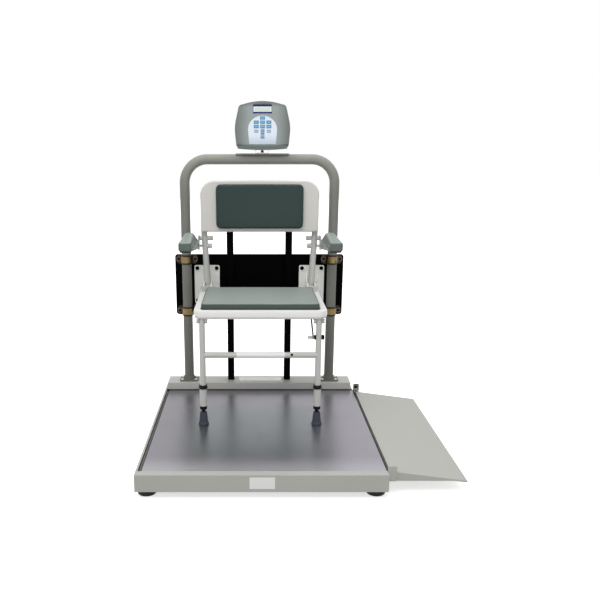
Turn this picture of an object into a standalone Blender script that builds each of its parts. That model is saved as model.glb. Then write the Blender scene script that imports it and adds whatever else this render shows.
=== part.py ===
"""Wheelchair scale with a fold-up chair, as an assembly of separate pieces.

The pieces are drawn in the platform's own frame: X runs to the right from the platform's
centre line, Y runs back from its front edge, and Z is the height above the front lip. One
empty carries them all, and puts the middle of the assembly's footprint on the world origin,
with the floor at Z = 0. Lengths are in metres and angles in radians.
"""

import math

import bmesh
import bpy
from mathutils import Matrix, Vector

# Clearances and overlaps that every piece shares
GAP = 0.0003  # between pieces that touch
RUNNING_GAP = 0.0006  # round a pin or bolt in its hole
OVERRUN = 0.004  # how far a cutter runs past the face it opens
SINK = 0.001  # how deep two joined shapes run into each other
WELD = 0.00001  # points of one shape that are closer than this are one point

# Faces round a turned or bent shape
FINE_SIDES = 20
ROUND_SIDES = 16
SMALL_SIDES = 12
HEXAGON = 6
BEND_STEPS = 6
CORNER_STEPS = 4

# Platform frame and deck
PLATFORM_WIDTH = 0.813
PLATFORM_DEPTH = 0.914
FRAME_HEIGHT = 0.059
SHEET = 0.003
LIP_WIDTH = 0.030
SIDE_WALL = 0.007
DECK_SIDE_GAP = 0.012
DECK_FRONT_GAP = 0.002
DECK_THICKNESS = 0.004
DECK_DROP = 0.002
RIB_HEIGHT = 0.030

# Rear channel
CHANNEL_SIDE_INSET = 0.0105
CHANNEL_DEPTH = 0.093
CHANNEL_RISE = 0.029
CHANNEL_HALF_WIDTH = PLATFORM_WIDTH / 2 - CHANNEL_SIDE_INSET
CHANNEL_FRONT = PLATFORM_DEPTH - CHANNEL_DEPTH

# Load cells and levelling feet
FOOT_INSET_X = 0.034
FOOT_INSET_Y = 0.045
FOOT_RADIUS = 0.032
FOOT_REACH = 0.026
FOOT_TOP_GAP = 0.002
FOOT_EDGE = 0.007
FOOT_STUD_RADIUS = 0.005
FOOT_STUD_MARGIN = 0.006
CELL_LENGTH = 0.120
CELL_WIDTH = 0.030
CELL_HEIGHT = 0.022
CELL_PAD = 0.003

# Width of the chair's back, which the rail and the seat follow
BACK_HALF_SPAN = 0.2275
BACK_FOOT_DRAWN_IN = 0.013
BACK_FOOT_HALF_SPAN = BACK_HALF_SPAN - BACK_FOOT_DRAWN_IN

# Handrail and its flanges
RAIL_RADIUS = 0.019
RAIL_WALL = 0.002
RAIL_OUTSIDE_BACK = 0.0775
RAIL_HALF_SPAN = BACK_HALF_SPAN + RAIL_OUTSIDE_BACK
RAIL_FROM_BACK = 0.046
RAIL_Y = PLATFORM_DEPTH - RAIL_FROM_BACK
RAIL_OVER_SHELL = 0.082
RAIL_BEND = 0.094
FLANGE_WIDTH = 0.080
FLANGE_DEPTH = 0.060
FLANGE_THICKNESS = 0.006
FLANGE_CORNER = 0.008
SOCKET_WALL = 0.004
SOCKET_HEIGHT = 0.014
FLANGE_BOLT_INSET = 0.012

# Bolt heads that show as low round caps
HEAD_RADIUS = 0.0068
HEAD_HEIGHT = 0.004

# Cross plate, posts and pipe clamps
PLATE_SIDE_MARGIN = 0.0505
PLATE_HALF_WIDTH = RAIL_HALF_SPAN + PLATE_SIDE_MARGIN
PLATE_BOTTOM = 0.318
PLATE_TOP = 0.578
PLATE_THICKNESS = 0.005
PLATE_CORNER = 0.012
POST_WIDTH = 0.025
POST_WALL = 0.002
POST_X = 0.1225
POST_TOP = 0.800
CLAMP_HEIGHT = 0.040
CLAMP_EDGE_INSET = 0.0195
CLAMP_WALL = 0.003
CLAMP_HALF_WIDTH = 0.045
CLAMP_BOLT_INSET = 0.010

# Chair: hinge line, brackets and pins
HINGE_AHEAD = 0.068  # of the rail
HINGE_Y = RAIL_Y - HINGE_AHEAD
HINGE_Z = 0.455
PIN_RADIUS = 0.005
PIN_HEAD_RADIUS = 0.008
PIN_HEAD_HEIGHT = 0.003
BRACKET_REACH_IN = 0.0465
BRACKET_REACH_OUT = 0.060
BRACKET_X_IN = BACK_FOOT_HALF_SPAN - BRACKET_REACH_IN
BRACKET_X_OUT = BACK_FOOT_HALF_SPAN + BRACKET_REACH_OUT
BRACKET_BOTTOM = 0.368
BRACKET_TOP = 0.532
BRACKET_THICKNESS = 0.004
BRACKET_CORNER = 0.006
BRACKET_BOLT_INSET = 0.0125
EAR_NOSE = 0.0135
EAR_ROOT_TOP = 0.500
EAR_ROOT_BOTTOM = 0.425
EAR_STEP = 0.045

# Backrest
BACK_TUBE_RADIUS = 0.0125
BACK_TUBE_WALL = 0.0015
BACK_TUBE_AHEAD = 0.038  # of the rail
BACK_TUBE_Y = RAIL_Y - BACK_TUBE_AHEAD
BACK_CURVE_BOTTOM = 0.470
BACK_CURVE_TOP = 0.615
BACK_FOOT_Z = 0.440
BACK_TOP = 0.862
BACK_BEND = 0.060
BACK_BOLT_Z = 0.462
BACK_BOLT_RADIUS = 0.004
SHELL_MARGIN = 0.0105
SHELL_HALF_WIDTH = BACK_HALF_SPAN + SHELL_MARGIN
SHELL_BOTTOM = 0.680
SHELL_RISE = 0.021
SHELL_TOP = BACK_TOP + SHELL_RISE
SHELL_THICKNESS = 0.018
SHELL_TOP_CORNER = 0.058
SHELL_FOOT_CORNER = 0.008
SHELL_EDGE = 0.005
BACK_PAD_HALF_WIDTH = 0.1755
BACK_PAD_FOOT_MARGIN = 0.014
BACK_PAD_TOP_MARGIN = 0.013
BACK_PAD_BOTTOM = SHELL_BOTTOM + BACK_PAD_FOOT_MARGIN
BACK_PAD_TOP = SHELL_TOP - BACK_PAD_TOP_MARGIN
BACK_PAD_THICKNESS = 0.024

# Armrests
ARM_PIVOT_Z = 0.652
ARM_STOP_Z = 0.621
ARM_BOLT_RADIUS = 0.004
ARM_HEAD_RADIUS = 0.0085
ARM_SPACER_RADIUS = 0.0085
ARM_SPACER_LENGTH = 0.025
ARM_STOP_RADIUS = 0.005
ARM_CAP_RADIUS = 0.0095
ARM_CAP_REACH = 0.020
ARM_OFFSET = 0.0045
ARM_PLATE = 0.005
ARM_NOSE = 0.013
ARM_HEEL_BOTTOM = 0.607
ARM_PLATE_REACH = 0.040
ARM_PLATE_FRONT = BACK_TUBE_Y - ARM_PLATE_REACH
ARM_BAR_OUT = 0.043
ARM_BAR_X = BACK_HALF_SPAN + ARM_BAR_OUT
ARM_BAR_WIDTH = 0.022
ARM_BAR_REACH = 0.230
ARM_BAR_FRONT = BACK_TUBE_Y - ARM_BAR_REACH
ARM_BAR_TOP = 0.648
ARM_BAR_HEIGHT = 0.010
ARM_CORNER = 0.004
ARM_PAD_WIDTH = 0.048
ARM_PAD_BACK_WIDTH = 0.031
ARM_PAD_LENGTH = 0.335
ARM_PAD_HEEL = 0.045
ARM_PAD_BACK = BACK_TUBE_Y - ARM_PAD_HEEL
ARM_PAD_FRONT = ARM_PAD_BACK - ARM_PAD_LENGTH
ARM_PAD_HEIGHT = 0.032

# Seat
SEAT_OUTSIDE_HINGE = 0.0283
SEAT_HALF_WIDTH = BACK_FOOT_HALF_SPAN + SEAT_OUTSIDE_HINGE
SEAT_DEPTH = 0.375
SEAT_AHEAD = 0.015  # of the hinge
SEAT_BACK = HINGE_Y - SEAT_AHEAD
SEAT_FRONT = SEAT_BACK - SEAT_DEPTH
SEAT_BOTTOM = 0.409
SEAT_RIM = 0.438
SEAT_WALL = 0.004
SEAT_FRONT_CORNER = 0.030
SEAT_BACK_CORNER = 0.010
SEAT_EDGE = 0.007
SEAT_STAND_DEPTH = 0.010
SEAT_STAND_TOP = 0.4555
SEAT_LUG_THICKNESS = 0.0055
SEAT_LUG_GAP = 0.0005
SEAT_LUG_NOSE = 0.0105
SEAT_PAD_SIDE_MARGIN = 0.0228
SEAT_PAD_FRONT_MARGIN = 0.028
SEAT_PAD_BACK_MARGIN = 0.017
SEAT_PAD_HALF_WIDTH = SEAT_HALF_WIDTH - SEAT_PAD_SIDE_MARGIN
SEAT_PAD_FRONT = SEAT_FRONT + SEAT_PAD_FRONT_MARGIN
SEAT_PAD_BACK = SEAT_BACK - SEAT_PAD_BACK_MARGIN
SEAT_PAD_HEIGHT = 0.024

# Cushion forms
PAD_CROWN = 0.002
PAD_TUCK = 0.0025

# Legs
LEG_INSIDE_BACK = 0.0145
LEG_X = BACK_HALF_SPAN - LEG_INSIDE_BACK
LEG_SETBACK = 0.020
LEG_Y = SEAT_FRONT + LEG_SETBACK
LEG_RADIUS = 0.011
LEG_WALL = 0.0015
LEG_TOP = 0.410
LEG_TUBE_BOTTOM = 0.115
LEG_PIVOT_Z = 0.399
LEG_BAR_Z = 0.27025
LEG_LUG_GAP = 0.0005
LEG_LUG_THICKNESS = 0.006
LEG_LUG_NOSE = 0.0095
LEG_BOLT_RADIUS = 0.004
LEG_HEAD_RADIUS = 0.0075
SLEEVE_RADIUS = 0.0133
SLEEVE_BOTTOM = 0.0725
SLEEVE_TOP = 0.1405
SLEEVE_FLOOR = 0.0075
SLEEVE_PLAY = 0.0006
COLLAR_RADIUS = 0.0165
COLLAR_TOP = 0.155
CAP_RADIUS = 0.0135
CAP_BOTTOM = 0.054
TIP_STUD_RADIUS = 0.005
TIP_TOP = 0.048
TIP_NECK_RADIUS = 0.013
TIP_WAIST_RADIUS = 0.0155
TIP_FOOT_RADIUS = 0.0195
TIP_FOOT_HEIGHT = 0.006
TIP_WAIST_SHARE = 0.45

# Stay on the right leg
STAY_Z = 0.338
STAY_EYE_BEHIND = 0.120  # the leg
STAY_EYE_Y = LEG_Y + STAY_EYE_BEHIND
STAY_EYE_Z = 0.396
STAY_OVERHANG = 0.010
STAY_RADIUS = 0.0025
STAY_INSIDE_LEG = 0.020
STAY_X = LEG_X - STAY_INSIDE_LEG
STAY_BOLT_RADIUS = 0.003
STAY_BOSS_RADIUS = 0.006
STAY_BOSS_HALF = 0.0035
STAY_BOLT_REACH = 0.036
STAY_BOLT_END = LEG_X - STAY_BOLT_REACH
KNOB_RADIUS = 0.009
KNOB_HEIGHT = 0.0064
EYE_PLATE_INSIDE_LEG = 0.043
EYE_PLATE_X = LEG_X - EYE_PLATE_INSIDE_LEG
EYE_PLATE_THICKNESS = 0.004
EYE_PLATE_NOSE = 0.009
EYE_PLATE_ROOT = 0.020

# Ramp
RAMP_HINGE_OUT = 0.0105
RAMP_HINGE_X = PLATFORM_WIDTH / 2 + RAMP_HINGE_OUT
RAMP_HINGE_Z = 0.0
RAMP_PIN_RADIUS = 0.004
RAMP_SLOPE = math.radians(7.7)
RAMP_DROP = 0.006
RAMP_REACH = 0.2554
RAMP_SHEET = 0.003
RAMP_TIP_DEPTH = 0.0057
RAMP_SKIRT_DEPTH = 0.040
RAMP_SKIRT = 0.004
RAMP_FRONT_INSET = 0.040
RAMP_BACK_INSET = 0.106
RAMP_FRONT = RAMP_FRONT_INSET
RAMP_BACK = PLATFORM_DEPTH - RAMP_BACK_INSET
RAMP_NOSE = 0.0085
RAMP_EAR_THICKNESS = 0.006
RAMP_EAR_GAP = 0.0015
RAMP_EAR_BOTTOM = 0.038
RAMP_EAR_REACH_FRONT = 0.0195
RAMP_EAR_REACH_BACK = 0.014
RAMP_EAR_TOP_FRONT = 0.0150
RAMP_EAR_TOP_BACK = 0.0270
RAMP_EAR_CORNER = 0.005
RAMP_LOCK_RISE = 0.0140
RAMP_LOCK_RADIUS = 0.004

# Display
DISPLAY_X = 0.0105
SADDLE_HALF_WIDTH = 0.107
SADDLE_HALF_DEPTH = 0.017
SADDLE_THICKNESS = 0.003
SADDLE_LIP = 0.003
YOKE_HALF_SPAN = 0.028
YOKE_PLATE = 0.003
YOKE_BASE = 0.003
YOKE_HALF_DEPTH = 0.011
YOKE_NOSE = 0.007
SWIVEL_RADIUS = 0.004
SWIVEL_NUT_RADIUS = 0.0065
SWIVEL_NUT_HEIGHT = 0.004
SWIVEL_END_RISE = 0.038
TILT_RISE = 0.0535
TILT_PIN_RADIUS = 0.004
HEAD_TILT = math.radians(22)
HEAD_PIVOT_RISE = 0.0281
HEAD_PIVOT_BACK = 0.0709
HEAD_TOP_HALF = 0.0915
HEAD_WAIST_HALF = 0.109
HEAD_FOOT_HALF = 0.1015
HEAD_FOOT_RISE = 0.002
HEAD_WAIST_RISE = 0.0755
HEAD_SHOULDER_RISE = 0.165
HEAD_CROWN_RISE = 0.182
HEAD_CORNER = 0.014
HEAD_FOOT_CORNER = 0.004
HEAD_WAIST_BEND = 0.182
HEAD_FRONT_DEPTH = 0.022
HEAD_BACK_DEPTH = 0.033
HEAD_WALL = 0.0025
HEAD_DRAFT = 0.005
LCD_HALF_WIDTH = 0.037
LCD_BOTTOM = 0.130
LCD_TOP = 0.164
LCD_RECESS = 0.0010
KEYPAD_FOOT_HALF = 0.052
KEYPAD_BOTTOM = 0.003
KEYPAD_ARCH_RADIUS = 0.057
KEYPAD_ARCH_RISE = 0.063
KEYPAD_THICKNESS = 0.0008
KEYPAD_CORNER = 0.004
BOARD_HALF_WIDTH = 0.070
BOARD_BOTTOM = 0.030
BOARD_TOP = 0.140
BOARD_THICKNESS = 0.0016
BOARD_BOSS_RADIUS = 0.004
BOARD_BOSS_INSET = 0.008
BOARD_CHIP_HEIGHT = 0.006
BOARD_CHIP_HALF_WIDTH = 0.0185
BOARD_CHIP_BOTTOM = 0.060
BOARD_CHIP_TOP = 0.090
LCD_MODULE_BOTTOM = 0.122

# Heights and planes that follow from the sizes above
RAIL_TOP = SHELL_TOP + RAIL_OVER_SHELL
HALF_WIDTH = PLATFORM_WIDTH / 2
FRAME_BOTTOM = -FRAME_HEIGHT
FLOOR = FRAME_BOTTOM - FOOT_REACH
DECK_TOP = -DECK_DROP
WEB_TOP = DECK_TOP - DECK_THICKNESS - GAP
WEB_BOTTOM = WEB_TOP - SHEET
FLANGE_TOP = CHANNEL_RISE + GAP + FLANGE_THICKNESS
PLATE_FRONT = RAIL_Y + RAIL_RADIUS + GAP
RAIL_CROWN = RAIL_TOP + RAIL_RADIUS
SWIVEL_END = RAIL_TOP + SWIVEL_END_RISE
TILT_Z = RAIL_TOP + TILT_RISE
SADDLE_TOP = RAIL_CROWN + GAP + SADDLE_THICKNESS
RAMP_TIP = (
    RAMP_HINGE_X
    + RAMP_REACH * math.cos(RAMP_SLOPE)
    - RAMP_DROP * math.sin(RAMP_SLOPE)
)
MIDDLE_X = (RAMP_TIP - HALF_WIDTH) / 2
SIDES = {"left": -1, "right": 1}


# Scene, carriers and finishes


def clear_scene():
    for thing in list(bpy.data.objects):
        bpy.data.objects.remove(thing)


def new_collection(name):
    collection = bpy.data.collections.new(name)
    bpy.context.scene.collection.children.link(collection)
    return collection


clear_scene()
PARTS = new_collection("wheelchair_scale")
HELPERS = new_collection("cutters_and_joined_shapes")


def new_carrier(name, point, parent=None):
    """An empty at a point of the platform's frame, for the pieces that move about it."""
    carrier = bpy.data.objects.new(name, None)
    PARTS.objects.link(carrier)
    carrier.empty_display_size = FOOT_RADIUS
    carrier.location = point
    if parent:
        hang(carrier, parent)
    return carrier


def hang(thing, carrier):
    """Parents a thing to a carrier and leaves it where it is in the platform's frame."""
    thing.parent = carrier
    if carrier is not ROOT:
        thing.matrix_parent_inverse = Matrix.Translation(-carrier.location)


ROOT = new_carrier("platform_origin", (-MIDDLE_X, -PLATFORM_DEPTH / 2, -FLOOR))


def principled(name, colour, roughness, metallic=0.0):
    """A Principled material, made once and then shared."""
    material = bpy.data.materials.get(name)
    if material is None:
        material = bpy.data.materials.new(name)
        material.use_nodes = True
        shader = material.node_tree.nodes["Principled BSDF"]
        shader.inputs["Base Color"].default_value = (*colour, 1)
        shader.inputs["Roughness"].default_value = roughness
        shader.inputs["Metallic"].default_value = metallic
    return material


def grey_paint():
    return principled("grey_paint", (0.33, 0.33, 0.30), 0.45)


def white_paint():
    return principled("white_paint", (0.75, 0.75, 0.73), 0.35)


def white_shell():
    return principled("white_shell", (0.80, 0.80, 0.79), 0.30)


def black_paint():
    return principled("black_paint", (0.01, 0.01, 0.01), 0.40)


def brushed_deck():
    return principled("brushed_deck", (0.32, 0.31, 0.35), 0.35, 0.9)


def yellow_zinc():
    return principled("yellow_zinc", (0.33, 0.25, 0.13), 0.35, 0.9)


def bright_steel():
    return principled("bright_steel", (0.55, 0.55, 0.55), 0.30, 1.0)


def black_plastic():
    return principled("black_plastic", (0.015, 0.015, 0.015), 0.45)


def black_rubber():
    return principled("black_rubber", (0.012, 0.012, 0.012), 0.70)


def grey_rubber():
    return principled("grey_rubber", (0.06, 0.075, 0.09), 0.65)


def dark_vinyl():
    return principled("dark_vinyl", (0.04, 0.055, 0.05), 0.50)


def seat_vinyl():
    return principled("seat_vinyl", (0.26, 0.32, 0.29), 0.45)


def housing_plastic():
    return principled("housing_plastic", (0.24, 0.26, 0.24), 0.45)


def lcd_glass():
    return principled("lcd_glass", (0.45, 0.52, 0.42), 0.15)


def key_membrane():
    return principled("key_membrane", (0.45, 0.50, 0.52), 0.40)


def green_board():
    return principled("green_board", (0.02, 0.12, 0.05), 0.50)


# Outlines


def fillet(corner, before, after, radius, steps):
    """The points of an arc that turns a corner."""
    towards = (before - corner).normalized()
    onwards = (after - corner).normalized()
    half = towards.angle(onwards) / 2
    centre = corner + (towards + onwards).normalized() * (radius / math.sin(half))
    first = corner + towards * (radius / math.tan(half)) - centre
    last = corner + onwards * (radius / math.tan(half)) - centre
    turn = first.normalized(), last.normalized()
    return [centre + turn[0].slerp(turn[1], step / steps) * radius for step in range(steps + 1)]


def rounded(corners, radii, steps=CORNER_STEPS):
    """A closed outline through the corners, each turned with its own radius."""
    corners = [Vector(corner) for corner in corners]
    outline = []
    for index, (corner, radius) in enumerate(zip(corners, radii)):
        if radius:
            after = corners[(index + 1) % len(corners)]
            outline += fillet(corner, corners[index - 1], after, radius, steps)
        else:
            outline.append(corner)
    return outline


def rectangle(u, v, radius=0.0, steps=CORNER_STEPS):
    corners = [(u[0], v[0]), (u[1], v[0]), (u[1], v[1]), (u[0], v[1])]
    return rounded(corners, [radius] * len(corners), steps)


def bent_path(points, radii, steps=BEND_STEPS):
    """An open path through the points, bent at the ones between its ends."""
    points = [Vector(point) for point in points]
    path = [points[0]]
    for before, corner, after, radius in zip(points, points[1:], points[2:], radii):
        path += fillet(corner, before, after, radius, steps) if radius else [corner]
    return path + [points[-1]]


def arc(centre, radius, start, end, steps):
    """Points on a circle between two angles."""
    middle = Vector(centre)
    angles = [start + (end - start) * step / steps for step in range(steps + 1)]
    return [middle + Vector((math.cos(a), math.sin(a))) * radius for a in angles]


def bow(first, last, rise, steps):
    """An arc from one point to another that bulges by the rise, without its two ends."""
    first, last = Vector(first), Vector(last)
    half = (last - first) / 2
    side = Vector((half.y, -half.x)).normalized()
    points = []
    for step in range(1, steps):
        share = 2 * step / steps - 1
        points.append(first + half * (1 + share) + side * rise * (1 - share * share))
    return points


# Solids


def place(name, mesh, location, rotation=(0, 0, 0)):
    piece = bpy.data.objects.new(name, mesh)
    PARTS.objects.link(piece)
    piece.location = location
    piece.rotation_euler = rotation
    hang(piece, ROOT)
    return piece


def mesh_from(name, form):
    mesh = bpy.data.meshes.new(name)
    form.to_mesh(mesh)
    form.free()
    return mesh


def block(name, x, y, z):
    """A box between the low and the high value of each pair."""
    form = bmesh.new()
    bmesh.ops.create_cube(form, size=1)
    bmesh.ops.scale(form, vec=[high - low for low, high in (x, y, z)], verts=form.verts)
    return place(name, mesh_from(name, form), [(low + high) / 2 for low, high in (x, y, z)])


def axis_placing(axis, span, at):
    """The middle and the turn of a shape that was drawn along Z."""
    middle = (span[0] + span[1]) / 2
    if axis == "X":
        return (middle, at[0], at[1]), (0, math.pi / 2, 0)
    if axis == "Y":
        return (at[0], middle, at[1]), (-math.pi / 2, 0, 0)
    return (at[0], at[1], middle), (0, 0, 0)


def rod(name, radius, axis, span, at, sides=SMALL_SIDES):
    """A round bar along an axis, at two coordinates across it."""
    form = bmesh.new()
    bmesh.ops.create_cone(
        form,
        cap_ends=True,
        segments=sides,
        radius1=radius,
        radius2=radius,
        depth=abs(span[1] - span[0]),
    )
    mesh = mesh_from(name, form)
    smooth(mesh)
    return place(name, mesh, *axis_placing(axis, span, at))


def smooth(mesh):
    mesh.shade_smooth()
    mesh.set_sharp_from_angle(angle=math.radians(40))


def mesh_of_curve(curve):
    """A closed mesh of a curve, with its caps welded on."""
    guide = bpy.data.objects.new(curve.name, curve)
    bpy.context.scene.collection.objects.link(guide)
    graph = bpy.context.evaluated_depsgraph_get()
    mesh = bpy.data.meshes.new_from_object(guide.evaluated_get(graph))
    bpy.data.objects.remove(guide)
    form = bmesh.new()
    form.from_mesh(mesh)
    bmesh.ops.remove_doubles(form, verts=form.verts, dist=WELD)
    bmesh.ops.recalc_face_normals(form, faces=form.faces)
    form.to_mesh(mesh)
    form.free()
    smooth(mesh)
    return mesh


def plate(name, outline, axis, span):
    """A flat outline that fills the span along the axis it is drawn across."""
    curve = bpy.data.curves.new(name, "CURVE")
    curve.dimensions = "2D"
    curve.fill_mode = "BOTH"
    curve.extrude = abs(span[1] - span[0]) / 2
    spline = curve.splines.new("POLY")
    spline.points.add(len(outline) - 1)
    for point, (u, v) in zip(spline.points, outline):
        point.co = (u, v, 0, 1)
    spline.use_cyclic_u = True
    middle = (span[0] + span[1]) / 2
    turns = {
        "X": ((middle, 0, 0), (math.pi / 2, 0, math.pi / 2)),
        "Y": ((0, middle, 0), (math.pi / 2, 0, 0)),
        "Z": ((0, 0, middle), (0, 0, 0)),
    }
    return place(name, mesh_of_curve(curve), *turns[axis])


def tube(name, path, radius, sides=ROUND_SIDES, capped=True):
    """A round tube or bar along a path."""
    curve = bpy.data.curves.new(name, "CURVE")
    curve.dimensions = "3D"
    curve.bevel_depth = radius
    curve.bevel_resolution = sides // 2 - 2
    curve.use_fill_caps = capped
    spline = curve.splines.new("POLY")
    spline.points.add(len(path) - 1)
    for point, place_on_path in zip(spline.points, path):
        point.co = (*place_on_path, 1)
    return place(name, mesh_of_curve(curve), (0, 0, 0))


def turned(name, profile, axis_at, sides=ROUND_SIDES):
    """A shape turned about an upright axis, from its radius at each height, top first."""
    mesh = bpy.data.meshes.new(name)
    edges = [(index, index + 1) for index in range(len(profile) - 1)]
    mesh.from_pydata([(radius, 0, height) for radius, height in profile], edges, [])
    piece = place(name, mesh, (*axis_at, 0))
    screw = piece.modifiers.new("Turn", "SCREW")
    screw.steps = screw.render_steps = sides
    screw.use_merge_vertices = True
    screw.merge_threshold = WELD
    screw.use_smooth_shade = False
    return piece


def bevel(piece, width, segments=2):
    edge = piece.modifiers.new("Rounded edges", "BEVEL")
    edge.width = width
    edge.segments = segments
    edge.limit_method = "ANGLE"
    edge.angle_limit = math.radians(50)
    return piece


def set_aside(shape):
    """Makes a shape a helper that only its Boolean uses."""
    PARTS.objects.unlink(shape)
    HELPERS.objects.link(shape)
    shape.hide_render = True
    shape.display_type = "WIRE"


def combine(piece, operation, shapes):
    for shape in shapes:
        boolean = piece.modifiers.new(shape.name, "BOOLEAN")
        boolean.operation = operation
        boolean.solver = "EXACT"
        boolean.object = shape
        set_aside(shape)
    return piece


def join_to(piece, *shapes):
    return combine(piece, "UNION", shapes)


def cut_from(piece, *shapes):
    return combine(piece, "DIFFERENCE", shapes)


def finished(piece, material, carrier=None):
    """Gives a piece its material, even shading over its flat faces and, if it moves, its carrier."""
    if any(modifier.type == "BOOLEAN" for modifier in piece.modifiers):
        shading = piece.modifiers.new("Even shading", "WEIGHTED_NORMAL")
        shading.weight = 100
    piece.data.materials.clear()
    piece.data.materials.append(material)
    if carrier:
        hang(piece, carrier)
    return piece


def span_at(side, low, high):
    """A span across the chair on one side of its centre line."""
    return tuple(sorted((side * low, side * high)))


def around(middle, half):
    return middle - half, middle + half


# Platform


def build_platform_frame():
    """A tray of folded sheet, open below, with a boxed front lip and a low left wall."""
    inside = around(0, HALF_WIDTH - SHEET)
    frame = block(
        "platform_frame",
        around(0, HALF_WIDTH),
        (0, PLATFORM_DEPTH),
        (FRAME_BOTTOM, WEB_TOP),
    )
    lip = block("front_lip", around(0, HALF_WIDTH), (0, LIP_WIDTH), (WEB_TOP - SINK, 0))
    wall = block(
        "left_wall",
        (-HALF_WIDTH, SIDE_WALL - HALF_WIDTH),
        (LIP_WIDTH - SINK, PLATFORM_DEPTH),
        (WEB_TOP - SINK, 0),
    )
    join_to(frame, lip, wall)
    tray = block(
        "tray_inside",
        inside,
        (SHEET, PLATFORM_DEPTH - SHEET),
        (FRAME_BOTTOM - OVERRUN, WEB_BOTTOM),
    )
    lip_inside = block(
        "lip_inside", inside, (SHEET, LIP_WIDTH - SHEET), (WEB_BOTTOM - SINK, -SHEET)
    )
    cut_from(frame, tray, lip_inside)
    for index in (-1, 1):
        rib = block(
            f"rib_{index}",
            around(index * PLATFORM_WIDTH / 6, SHEET / 2),
            (SHEET - SINK, PLATFORM_DEPTH - SHEET + SINK),
            (WEB_BOTTOM - RIB_HEIGHT, WEB_BOTTOM + SINK),
        )
        join_to(frame, rib)
    return finished(frame, grey_paint())


def build_deck_plate():
    deck = block(
        "deck_plate",
        (SIDE_WALL + DECK_SIDE_GAP - HALF_WIDTH, HALF_WIDTH),
        (LIP_WIDTH + DECK_FRONT_GAP, CHANNEL_FRONT - DECK_FRONT_GAP),
        (DECK_TOP - DECK_THICKNESS, DECK_TOP),
    )
    return finished(deck, brushed_deck())


def build_rear_channel():
    """A folded channel across the back, open below, that carries the rail and the posts."""
    channel = block(
        "rear_channel",
        around(0, CHANNEL_HALF_WIDTH),
        (CHANNEL_FRONT, PLATFORM_DEPTH),
        (WEB_TOP + GAP, CHANNEL_RISE),
    )
    hollow = block(
        "channel_inside",
        around(0, CHANNEL_HALF_WIDTH - SHEET),
        (CHANNEL_FRONT + SHEET, PLATFORM_DEPTH - SHEET),
        (WEB_TOP - OVERRUN, CHANNEL_RISE - SHEET),
    )
    return finished(cut_from(channel, hollow), grey_paint())


def foot_place(side, end):
    """The centre of a foot, and the direction along Y to the platform's middle."""
    x = side * (HALF_WIDTH - FOOT_INSET_X)
    return (x, FOOT_INSET_Y, 1) if end == "front" else (x, PLATFORM_DEPTH - FOOT_INSET_Y, -1)


def build_load_cell(name, side, end):
    """A bending bar under the web: seated at its inner end, carried by the foot at its outer."""
    x, y, inward = foot_place(side, end)
    near = y - inward * CELL_WIDTH / 2
    far = near + inward * CELL_LENGTH
    top = WEB_BOTTOM - GAP - CELL_PAD
    across = around(x, CELL_WIDTH / 2)
    bar = block(name, across, sorted((near, far)), (top - CELL_HEIGHT, top))
    pad = block(
        f"{name}_seat", across, sorted((far, far - inward * CELL_WIDTH)), (top - SINK, top + CELL_PAD)
    )
    bore = rod(
        f"{name}_bore",
        FOOT_STUD_RADIUS + RUNNING_GAP,
        "Z",
        (top - CELL_HEIGHT - OVERRUN, top + OVERRUN),
        (x, y),
    )
    return finished(cut_from(join_to(bar, pad), bore), bright_steel())


def build_levelling_foot(name, side, end):
    """A rubber puck with a rounded rim under a threaded stud."""
    x, y, _ = foot_place(side, end)
    stud_top = WEB_BOTTOM - GAP - CELL_PAD - FOOT_STUD_MARGIN
    puck_top = FRAME_BOTTOM - FOOT_TOP_GAP
    rim = [
        (
            FOOT_RADIUS - FOOT_EDGE * (1 - math.cos(math.pi / 2 * step / CORNER_STEPS)),
            FLOOR + FOOT_EDGE * (1 - math.sin(math.pi / 2 * step / CORNER_STEPS)),
        )
        for step in range(CORNER_STEPS + 1)
    ]
    profile = [(0, stud_top), (FOOT_STUD_RADIUS, stud_top), (FOOT_STUD_RADIUS, puck_top)]
    profile += [(FOOT_RADIUS, puck_top)] + rim + [(0, FLOOR)]
    foot = turned(name, profile, (x, y))
    carrier = new_carrier(f"{name}_turn", (x, y, FLOOR), ROOT)
    return finished(foot, black_rubber(), carrier)


# Handrail, cross plate and posts


def build_handrail():
    """One tube bent to an arch, with open ends that stand on the flanges."""
    foot = FLANGE_TOP + GAP
    corners = [
        (-RAIL_HALF_SPAN, RAIL_Y, foot),
        (-RAIL_HALF_SPAN, RAIL_Y, RAIL_TOP),
        (RAIL_HALF_SPAN, RAIL_Y, RAIL_TOP),
        (RAIL_HALF_SPAN, RAIL_Y, foot),
    ]
    path = bent_path(corners, [RAIL_BEND, RAIL_BEND])
    rail = tube("handrail", path, RAIL_RADIUS, capped=False)
    wall = rail.modifiers.new("Wall", "SOLIDIFY")
    wall.thickness = RAIL_WALL
    wall.offset = -1
    return finished(rail, grey_paint())


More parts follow.
